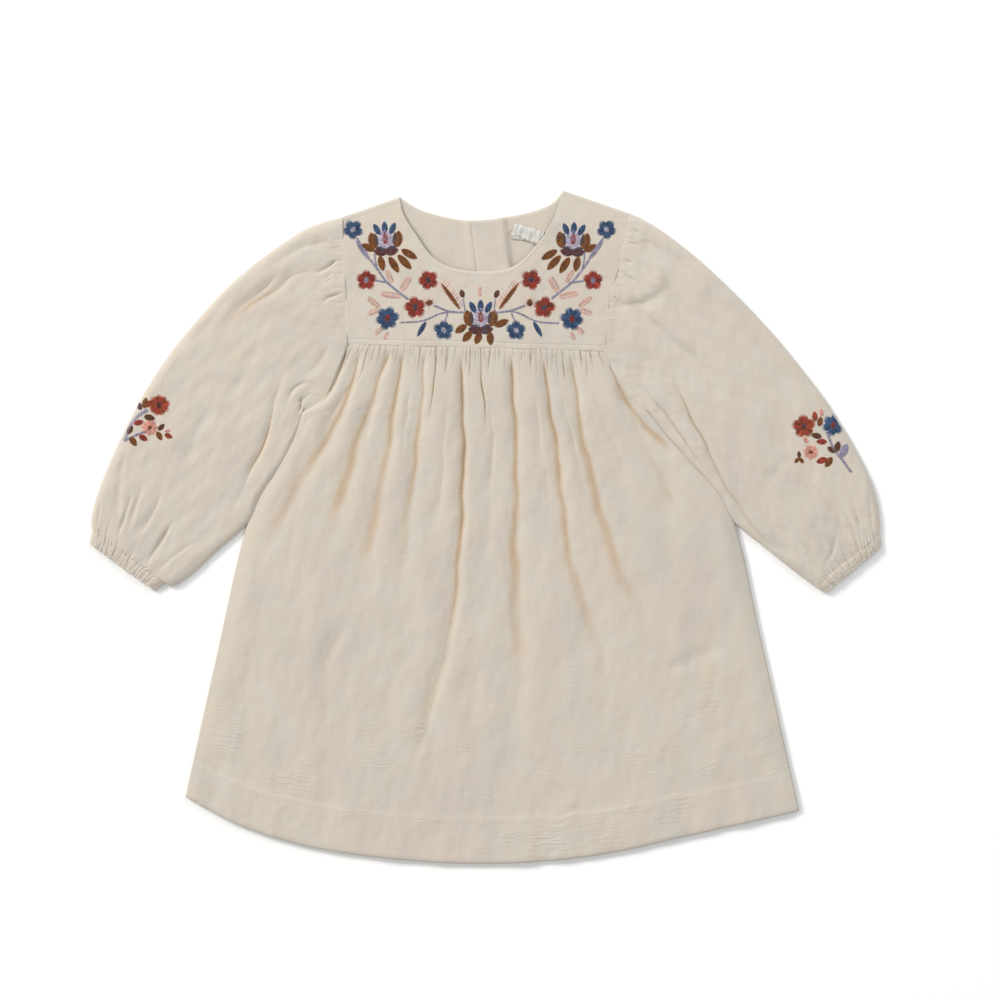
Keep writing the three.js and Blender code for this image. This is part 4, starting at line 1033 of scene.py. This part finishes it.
def cuff(side, sections, side_points):
    outer_points, under_points, heights = section_table(sections[-2:], side_points)
    down = np.linspace(-0.14, 1, CUFF_ROWS)[:, None]
    scallop = np.random.default_rng(90 + side).uniform(-0.09, 0.09, 24)

    def plan_at(share):
        start, end = (mix(outer_points[k], under_points[k], share[..., None]) for k in (0, 1))
        wavy = np.interp(share, np.linspace(0, 1, 24), scallop) * smooth(down, 0.5, 1)
        return mix(start, end, (down + wavy)[..., None])

    def height_at(x, y, share):
        inside = np.clip(down, 0, 1)
        belly = 0.7 * np.sin(math.pi * inside) ** 0.7
        wander = 0.03 * np.sin(23 * share) + 0.02 * np.sin(61 * share)
        stitched = 0.2 * bell(down - wander, 0.08, 0.09) + 0.3 * bell(down + wander, 0.78, 0.06)
        ruche = np.zeros(x.shape)
        for k, (at, _, depth) in enumerate(CUFF_GATHERS + CUFF_PUCKERS):
            off = share - at - 0.008 * math.sin(k * 2.1) * down
            deep = depth * (0.5 + 0.5 * np.abs(np.sin(k * 1.7 + 2.2 * down)))
            ruche += deep * np.exp(-np.abs(off) / (0.011 + 0.005 * math.sin(k * 3.1)))
        over_sleeve = 0.5 * bell(down, 0, 0.3) - 1.6 * (1 - smooth(down, -0.14, 0.0))
        height = mix(*heights, inside) + belly - ruche - stitched + over_sleeve
        # Painted shade in the puckers, dark and tan by the depth of the ruche
        return np.maximum(height, 2.2), 1.7 * ruche, 0.8 * ruche

    return tube(f"cuff_{WORDS[side]}", plan_at, height_at, CUFF_FRONT, CUFF_ROWS, "cuff")


back_skirt()
back_yoke(-1, PLACKET_WIDTH, UNDER_PLACKET, PLACKET_WIDTH + 8)
back_right = back_yoke(1, 0, OVER_PLACKET, PLACKET_WIDTH + 10)
skirt_piece = front_skirt()
yoke_piece = front_yoke()
sleeve_left = sleeve(-1, SLEEVE_LEFT, SIDE_LEFT, armhole_left, LEFT_SLEEVE_FOLDS, LEFT_SOFT_CREASES,
                     LEFT_HEAD_GATHERS)
sleeve_right = sleeve(1, SLEEVE_RIGHT, SIDE_RIGHT, armhole_right, RIGHT_SLEEVE_FOLDS, RIGHT_SOFT_CREASES,
                      RIGHT_HEAD_GATHERS)
cuff(-1, SLEEVE_LEFT, SIDE_LEFT)
cuff(1, SLEEVE_RIGHT, SIDE_RIGHT)

# Embroidery

THREADS = {
    "blue": linear(70, 100, 138),
    "navy": linear(40, 64, 102),
    "lilac": linear(166, 162, 182),
    "pale": linear(200, 192, 208),
    "red": linear(176, 64, 44),
    "rust": linear(184, 80, 46),
    "maroon": linear(108, 52, 44),
    "brown": linear(144, 86, 30),
    "umber": linear(106, 66, 34),
    "slate": linear(92, 84, 98),
    "pink": linear(228, 172, 158),
    "cream": linear(216, 208, 194),
}

# The darker thread that is mixed in with each
DARKER = {"blue": "navy", "red": "maroon", "rust": "maroon", "brown": "umber", "maroon": "slate"}
DARKER_SHARE = 0.26
SHADES = (0.58, 1.25)  # range of brightness among the stitches of one thread

# Sections of one stitch: share along it, then shares of its width and height
STITCH_SECTIONS = [(0, 0.55, 0.1), (0.3, 1, 1), (0.7, 1, 1), (1, 0.55, 0.1)]
STITCH_EDGE = -0.15  # height of both edges of a stitch, just inside the cloth

rng = np.random.default_rng(11)


def towards(turn):
    return np.array([math.cos(turn), math.sin(turn)])


def square_to(way):
    """The way turned to the left by a right angle."""
    return np.array([-way[1], way[0]])


class Surface:
    """Heights on top of some pieces, by a ray from above."""

    def __init__(self, *pieces):
        points, faces = [], []
        for piece in pieces:
            start = len(points)
            points += [v.co for v in piece.data.vertices]
            faces += [[start + i for i in p.vertices] for p in piece.data.polygons]
        self.tree = BVHTree.FromPolygons(points, faces)

    def height(self, x, y):
        hit = self.tree.ray_cast(Vector((x * MM, y * MM, 0.1)), Vector((0, 0, -1)))[0]
        return None if hit is None else hit.z / MM


class Stitches:
    """Stitches of thread, each a small closed ridge that lies on a surface."""

    def __init__(self, *pieces):
        self.surface = Surface(*pieces)
        self.points, self.faces, self.colours = [], [], []

    def stitch(self, start, end, colour, width=0.8, lift=0.4):
        start, end = np.array(start, float), np.array(end, float)
        length = np.hypot(*(end - start))
        if length < 0.3:
            return
        side = square_to(end - start) / length * width / 2
        inside = [t for t in (1, 0.85, 0.7, 0.5) if self.surface.height(*mix(start, end, t)) is not None]
        end = mix(start, end, inside[0] if inside else 0.4)
        base = len(self.points)
        for t, wide, high in STITCH_SECTIONS:
            middle = mix(start, end, t)
            z = self.surface.height(*middle)
            if z is None:
                del self.points[base:]
                return
            for across, up in ((-1, STITCH_EDGE), (0, high * lift), (1, STITCH_EDGE)):
                self.points.append((*(middle + side * wide * across) * MM, (z + up) * MM))
        for a in (base, base + 3, base + 6):
            self.faces += [(a, a + 3, a + 4, a + 1), (a + 1, a + 4, a + 5, a + 2), (a, a + 2, a + 5, a + 3)]
        self.faces += [(base, base + 1, base + 2), (base + 9, base + 11, base + 10)]
        shade = rng.uniform(*SHADES)
        tint = THREADS[DARKER.get(colour, colour) if rng.uniform() < DARKER_SHARE else colour]
        self.colours += [(*(shade * c for c in tint[:3]), 1)] * 12

    def stem(self, points, wide, colour="lilac", pitch=0.62):
        """A stem of slanted stitches, each across the stem's width."""
        path = Path(points)
        count = max(3, round(path.total / pitch))
        for i in range(count):
            a = path.at(i / count)
            b = path.at(min(1, i / count + 1.3 / path.total))
            normal = square_to(b - a) / (np.hypot(*(b - a)) + 1e-9) * wide / 2
            self.stitch(a - normal, b + normal, colour, 0.7, 0.45)

    def line(self, points, colour, length, gap, width, lift):
        """A line of single stitches, end to end or apart."""
        path = Path(points)
        count = max(1, round(path.total / (length + gap)))
        for i in range(count):
            a, b = i / count, (i + 1) / count - gap / path.total
            self.stitch(path.at(a), path.at(b), colour, width, lift)

    def petal(self, root, turn, length, half_width, belly, colour, width=0.8):
        """A rounded petal: stitches fan out from its root to an edge that is widest at the belly."""
        ray = towards(turn)
        side = square_to(ray) * half_width
        for u in np.linspace(-1, 1, max(4, round(2 * half_width / (width * 0.55)))):
            angle = 1.7 * u
            reach = length * (belly + (1 - belly) * math.cos(angle)) * rng.uniform(0.97, 1.03)
            start = root + ray * length * 0.1 + side * 0.3 * u
            self.stitch(start, root + ray * reach + side * math.sin(angle), colour, width, 0.45)

    def spot(self, centre, radius, colour, width=0.7):
        """A round spot filled with stitches side by side."""
        along = towards(rng.uniform(0, math.pi)) * radius
        across = square_to(along)
        for u in np.linspace(-0.9, 0.9, max(3, round(2 * radius / (width * 0.7)))):
            middle, half = centre + across * u, along * math.sqrt(1 - u * u)
            self.stitch(middle - half, middle + half, colour, width, 0.6)

    def leaf(self, base, tip, half_width, colour):
        """A leaf whose stitches slant forwards from its midrib to both edges."""
        base, tip = np.array(base, float), np.array(tip, float)
        length = np.hypot(*(tip - base))
        normal = square_to(tip - base) / length
        slant = min(0.3, 2.2 / length)
        for t in np.linspace(-slant * 0.4, 1 - slant, max(4, round(length / 0.5))):
            out = min(t + slant, 0.99)
            wide = half_width * math.sin(math.pi * max(out, 0.02)) ** 0.6
            for hand in (-1, 1):
                start = mix(base, tip, max(t, 0)) - normal * hand * 0.45
                self.stitch(start, mix(base, tip, out) + normal * wide * hand, colour, 0.75, 0.42)

    def sparse_leaf(self, base, tip, half_width, colour="pink"):
        """A light feathery leaf: a midrib with short single stitches that lean forwards on both hands."""
        base, tip = np.array(base, float), np.array(tip, float)
        length = np.hypot(*(tip - base))
        ray = (tip - base) / length
        normal = square_to(ray)
        self.line([base, mix(base, tip, 0.5) + normal * 0.3, tip], colour, 2.4, 0.0, 0.5, 0.3)
        for t in np.linspace(0.05, 0.85, max(5, round(length))):
            wide = 1.15 * half_width * math.sin(math.pi * (0.15 + 0.8 * t)) ** 0.6
            for hand in (-1, 1):
                start = mix(base, tip, t) + normal * hand * 0.2
                self.stitch(start, start + ray * 1.3 + normal * hand * wide, colour, 0.5)

    def flower(self, centre, radius, petals, colour, middle, turn):
        """A round flower of petals, parted by dark stitches, about a filled middle."""
        centre = np.array(centre, float)
        belly = 0.5 + 0.028 * petals
        half = (0.68 + 0.032 * petals) * belly * radius * math.tan(math.pi / petals)
        dark = DARKER.get(colour, colour)
        for k in range(petals):
            length = radius * rng.uniform(0.95, 1.05)
            self.petal(centre, turn + math.tau * k / petals, length, half, belly, colour)
            ray = towards(turn + math.tau * (k + 0.5) / petals) * radius
            self.stitch(centre + ray * 0.22, centre + ray * 0.66, dark, 0.6, 0.55)
        self.spot(centre, radius * 0.3, middle)

    def make(self, name):
        mesh = bpy.data.meshes.new(name)
        mesh.from_pydata([tuple(p) for p in self.points], [], self.faces)
        layer = mesh.attributes.new("thread", "FLOAT_COLOR", "POINT")
        layer.data.foreach_set("color", np.array(self.colours, np.float32).ravel())
        mesh.materials.append(thread)
        mesh.update()
        obj = add_object(name, mesh)
        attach(obj, "root")


MIRROR_X = -4.6

# A large blossom about its heart: base x and y, tip x and y, half width, thread; both halves
BLOSSOM_MIDDLE = [
    (0, 4, 0, 14, 2.6, "blue"),
    (0, -8, 0, 8, 6.6, "pale"),
    (0, -4, 0, 5.5, 3.0, "red"),
    (0, -1.5, 0, 3, 1.0, "lilac"),
]
BLOSSOM_SIDE = [
    (4, 3.5, 8.5, 12.5, 2.5, "blue"),
    (8.6, -7, 11, 6, 4.0, "brown"),
    (6.2, -5, 7.8, 5, 1.5, "slate"),
    (-1, -10.5, 10, -9, 3.8, "maroon"),
    (0, -7.6, 9, -6, 1.4, "slate"),
]

# Leaves below a blossom, from its heart: base x and y, tip x and y
CORNER_LEAVES = [
    (-9, -8.5, -19, -3), (-5, -13, -3, -25), (2, -14, 9, -27), (9, -13, 19, -25), (12, -9, 24, -17),
]
CENTRE_LEAVES = [
    (-11, -6, -20, -12), (-7, -11, -14, -19), (0, -12, -4, -21), (7, -11, 8, -22), (11, -7, 22, -2),
]


def blossom(work, heart, hand, leaves, turn=0.0):
    """A large blossom; hand -1 mirrors it."""
    c, s = math.cos(turn), math.sin(turn)

    def at(x, y):
        return heart[0] + (x * c - y * s) * hand, heart[1] + x * s + y * c

    for bx, by, tx, ty in leaves:
        work.leaf(at(bx, by), at(tx, ty), 3.1, "brown")
    for bx, by, tx, ty, half_width, colour in BLOSSOM_SIDE + BLOSSOM_MIDDLE:
        for flip in (-1, 1) if bx or tx else (1,):
            work.leaf(at(bx * flip, by), at(tx * flip, ty), half_width, colour)


# One half of the garland. Stems: points and width
GARLAND_STEMS = [
    ([(-16, 167), (-28, 168), (-40, 172)], 2.0),
    ([(-24, 168), (-35, 166), (-49, 160), (-67, 159)], 1.7),
    ([(-29, 167), (-32, 159)], 1.5),
    ([(-16, 167), (-17, 178)], 1.1),
    ([(-60, 177), (-76, 190), (-84, 200), (-90, 208)], 2.3),
    ([(-84, 199), (-86, 205), (-87, 213)], 1.7),
    ([(-76, 190), (-86, 192)], 1.8),
    ([(-98, 222), (-103, 228)], 1.3),
]

# Flowers: x, y, radius, petals, thread, thread of the middle, turn
GARLAND_FLOWERS = [
    (-103.5, 232, 8.3, 5, "blue", "pale", 0.9),
    (-93, 192, 8.6, 5, "red", "lilac", 0.3),
    (-45, 192, 8.6, 5, "red", "slate", 0.7),
    (-55, 171, 9.2, 5, "red", "slate", 0.5),
    (-76, 162, 9.8, 6, "blue", "red", 0.2),
    (-33, 153, 8.4, 5, "blue", "pale", 0.3),
]

# Leaves: base x and y, tip x and y, half width, thread
GARLAND_LEAVES = [
    (-90, 208, -101, 224, 2.3, "lilac"),
    (-46, 160, -53, 148, 2.0, "blue"),
    (-20, 169, -35, 190, 1.9, "brown"),
    (-17, 178, -19, 185, 2.2, "umber"),
]
GARLAND_SPARSE = [
    (-72, 190, -77, 200, 1.8),
    (-66, 183, -59, 195, 2.6),
    (-66, 179, -83, 182, 2.4),
    (-82, 171, -92, 179, 2.0),
    (-83, 169, -92, 166, 2.0),
    (-80, 156, -86, 150, 1.6),
    (-76, 152, -79, 146, 1.4),
]
BUD = (-44, 174.5)


def yoke_garland(work, hand):
    """One half of the garland on the yoke; hand 1 is the mirrored half."""

    def at(x, y):
        x, y = x + rng.uniform(-0.5, 0.5), y + rng.uniform(-0.5, 0.5)
        return (x, y) if hand < 0 else (2 * MIRROR_X - x, y)

    for points, wide in GARLAND_STEMS:
        work.stem([at(*p) for p in points], wide)
    for bx, by, tx, ty, half_width in GARLAND_SPARSE:
        work.sparse_leaf(at(bx, by), at(tx, ty), half_width)
    for side in (-1, 1):
        for k in range(11):
            x, y = -20.5 - k * 1.35, 170 + k * 1.9
            work.stitch(at(x, y), at(x + side * 3.68, y + side * 1.84 + 3.4), "pink", 0.8)
    for k in range(8):
        ray = towards(k * math.tau / 8) * 5.4
        work.stitch(at(*BUD), at(BUD[0] + ray[0], BUD[1] + ray[1]), "pink", 0.6)
    work.spot(at(*BUD), 2.8, "brown")
    for bx, by, tx, ty, half_width, colour in GARLAND_LEAVES:
        work.leaf(at(bx, by), at(tx, ty), half_width, colour)
    for x, y, radius, petals, colour, middle, turn in GARLAND_FLOWERS:
        work.flower(at(x, y), radius, petals, colour, middle, turn if hand < 0 else math.pi - turn)
    blossom(work, at(-78, 224), -hand, CORNER_LEAVES, 0.06)


# Sprigs on the sleeves. Stems: points and width
LEFT_STEMS = [
    ([(-281.5, 66), (-277.5, 77), (-271, 86), (-263, 91)], 3.6),
    ([(-281, 67), (-273, 71), (-262, 75)], 2.2),
]
RIGHT_STEMS = [
    ([(285, 42), (278, 52), (271, 61), (266, 74)], 2.6),
    ([(277, 53), (278, 58)], 2.2),
]

# Flowers: x, y, radius, petals, thread, thread of the middle, turn
LEFT_FLOWERS = [
    (-254.5, 94.5, 9.0, 9, "rust", "maroon", 0.2),
    (-261.5, 77, 7.2, 7, "pink", "brown", 0.1),
]
RIGHT_FLOWERS = [
    (248, 78, 10.0, 5, "rust", "maroon", 0.4),
    (271, 79, 9.2, 6, "blue", "red", 0.3),
    (253.5, 58, 6.6, 7, "pink", "brown", 0.2),
]

# Leaves: x, y, length, turn in degrees, thread
LEFT_LEAVES = [
    (-266, 92, 9, 80, "brown"),
    (-268, 91, 8, 125, "maroon"),
    (-264, 93, 7, 55, "rust"),
    (-266, 86, 9, -15, "umber"),
    (-274, 80, 8, 15, "red"),
    (-279, 72, 8, 60, "umber"),
    (-277, 70, 9, -55, "brown"),
    (-270, 71, 8, -30, "red"),
    (-255, 75, 7, 45, "umber"),
    (-256, 74, 8, -60, "brown"),
    (-250, 72, 7, -25, "red"),
    (-250, 74, 5, 10, "pink"),
]
RIGHT_LEAVES = [
    (260, 78, 8, 80, "brown"),
    (257, 82, 8, 95, "rust"),
    (262, 70, 8.5, 170, "umber"),
    (266, 66, 8.5, 178, "red"),
    (273, 58, 9, 75, "umber"),
    (273, 58, 8, 150, "umber"),
    (270, 54, 9.5, 235, "brown"),
    (266, 53, 9, 200, "red"),
    (277, 54, 12, 66, "lilac"),
    (244.5, 53.5, 5.5, 95, "umber"),
    (244.5, 53.5, 5.5, 225, "brown"),
    (244.5, 53.5, 5.5, 310, "brown"),
    (251, 65, 6, 120, "pink"),
    (262, 86, 6, 95, "pink"),
]


def sleeve_sprig(piece, name, stems, flowers, leaves):
    work = Stitches(piece)
    for points, wide in stems:
        work.stem(points, wide)
    for x, y, length, turn, colour in leaves:
        work.leaf((x, y), (x, y) + length * towards(math.radians(turn)), length * 0.3, colour)
    for x, y, *flower in flowers:
        work.flower((x, y), *flower)
    work.make(name)


def yoke_embroidery():
    work = Stitches(yoke_piece)
    yoke_garland(work, -1)
    yoke_garland(work, 1)
    work.sparse_leaf((MIRROR_X, 179), (MIRROR_X, 187), 1.2)
    blossom(work, (MIRROR_X + 0.8, 163), 1, CENTRE_LEAVES)
    work.make("yoke_embroidery")


def hem_stitching():
    """The line of stitches that holds the turned-up hem."""
    work = Stitches(skirt_piece)
    share = np.linspace(0.012, 0.988, 60)
    down = np.full(share.shape, 1 - (HEM_DEPTH - 3.5) / skirt_left.total)
    work.line(skirt_point(share, down), "cream", 2.4, 0.6, 0.4, 0.12)
    work.make("hem_stitching")


yoke_embroidery()
sleeve_sprig(sleeve_left, "sleeve_left_embroidery", LEFT_STEMS, LEFT_FLOWERS, LEFT_LEAVES)
sleeve_sprig(sleeve_right, "sleeve_right_embroidery", RIGHT_STEMS, RIGHT_FLOWERS, RIGHT_LEAVES)
hem_stitching()

# Label and buttons

LABEL_CENTRE = (33, 228)
LABEL_TILT = math.radians(-14)
LABEL_LENGTH = 24
LABEL_WIDTH = 11
LABEL_THICK = 0.5
LABEL_LOOP = [(24, 228), (20, 231.5), (17.5, 229), (20, 226.5), (24.5, 227.5), (32, 223.5), (41, 221)]


def neck_label():
    """A bare folded label on the inside of the back neck."""
    u, v = np.meshgrid(np.linspace(-0.5, 0.5, 41) * LABEL_LENGTH, np.linspace(-0.5, 0.5, 21) * LABEL_WIDTH)
    c, s = towards(LABEL_TILT)
    x = LABEL_CENTRE[0] + u * c - v * s
    y = LABEL_CENTRE[1] + u * s + v * c + 0.9 * ripple(u, v * 0.5, 12, 82)
    bow = 0.4 * (1 - (2 * v / LABEL_WIDTH) ** 2) + 0.7 * ripple(x, y, 5, 81)
    from_placket = smooth(x - placket_x(y, 0), PLACKET_WIDTH + 4, PLACKET_WIDTH + 10)
    z = BACK_TOP + OVER_PLACKET * (1 - from_placket) + 0.9 + bow
    piece = shell("neck_label_tape", over(x, y, z), over(x, y, z - LABEL_THICK), label_material())
    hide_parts("neck_label")
    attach(piece, "root")
    return piece


def label_cord(piece):
    """The loop of cord on the label's end and along its lower edge, in short twisted turns."""
    work = Stitches(piece, back_right)
    work.stem(LABEL_LOOP, 0.9, "cream", 0.5)
    work.make("label_cord")


label_cord(neck_label())
buttons = button_material()
for i in (1, 2, 3):
    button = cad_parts[f"back_button_{i}"]
    button.data.materials.clear()
    button.data.materials.append(buttons)

# Floor, light and camera

FLOOR_HALF = 9.0
FLOOR_Z = -0.0004

# Lights: name, place and size in metres, power, colour
LIGHTS = [
    ("key", (-4.0, 3.4, 3.3), 2.0, 286, (1.0, 0.945, 0.875)),
    ("fill", (2.4, 3.6, 2.8), 2.2, 50, (0.92, 0.96, 1.0)),
]
SKY_COLOUR = (0.985, 0.995, 1.0, 1)
SKY_STRENGTH = 0.675


def floor():
    mesh = bpy.data.meshes.new("floor")
    corners = [(x * FLOOR_HALF, y * FLOOR_HALF, FLOOR_Z) for x, y in ((-1, -1), (1, -1), (1, 1), (-1, 1))]
    mesh.from_pydata(corners, [], [(0, 1, 2, 3)])
    n = Nodes("floor_white")
    tone = n.mix(n.noise(n.place("Object"), (3, 3, 3)), (0.93, 0.93, 0.93, 1), (0.95, 0.95, 0.95, 1))
    mesh.materials.append(n.finish(tone, 0.9))
    add_object("floor", mesh)


def area_light(name, place, size, energy, colour):
    data = bpy.data.lights.new(name, "AREA")
    data.shape = "DISK"
    data.size = size
    data.energy = energy
    data.color = colour
    light = add_object(name, data)
    light.location = place
    light.rotation_euler = (-Vector(place)).to_track_quat("-Z", "Y").to_euler()


floor()
for row in LIGHTS:
    area_light(*row)

world = bpy.data.worlds.new("studio")
world.use_nodes = True
sky = world.node_tree.nodes["Background"]
sky.inputs[0].default_value = SKY_COLOUR
sky.inputs[1].default_value = SKY_STRENGTH
bpy.context.scene.world = world
bpy.context.scene.view_settings.view_transform = "Standard"
bpy.context.scene.view_settings.look = "None"

FRAME_WIDTH = 780
FRAME_CENTRE = (11.3, 20.7)
LENS = 100
SENSOR = 36
EYE_HEIGHT = FRAME_WIDTH * LENS / SENSOR + 3
camera_data = bpy.data.cameras.new("camera")
camera_data.lens = LENS
camera_data.sensor_width = SENSOR
camera_data.clip_end = 20
camera = add_object("camera", camera_data)
camera.location = (FRAME_CENTRE[0] * MM, FRAME_CENTRE[1] * MM, EYE_HEIGHT * MM)
bpy.context.scene.camera = camera

bpy.context.view_layer.update()
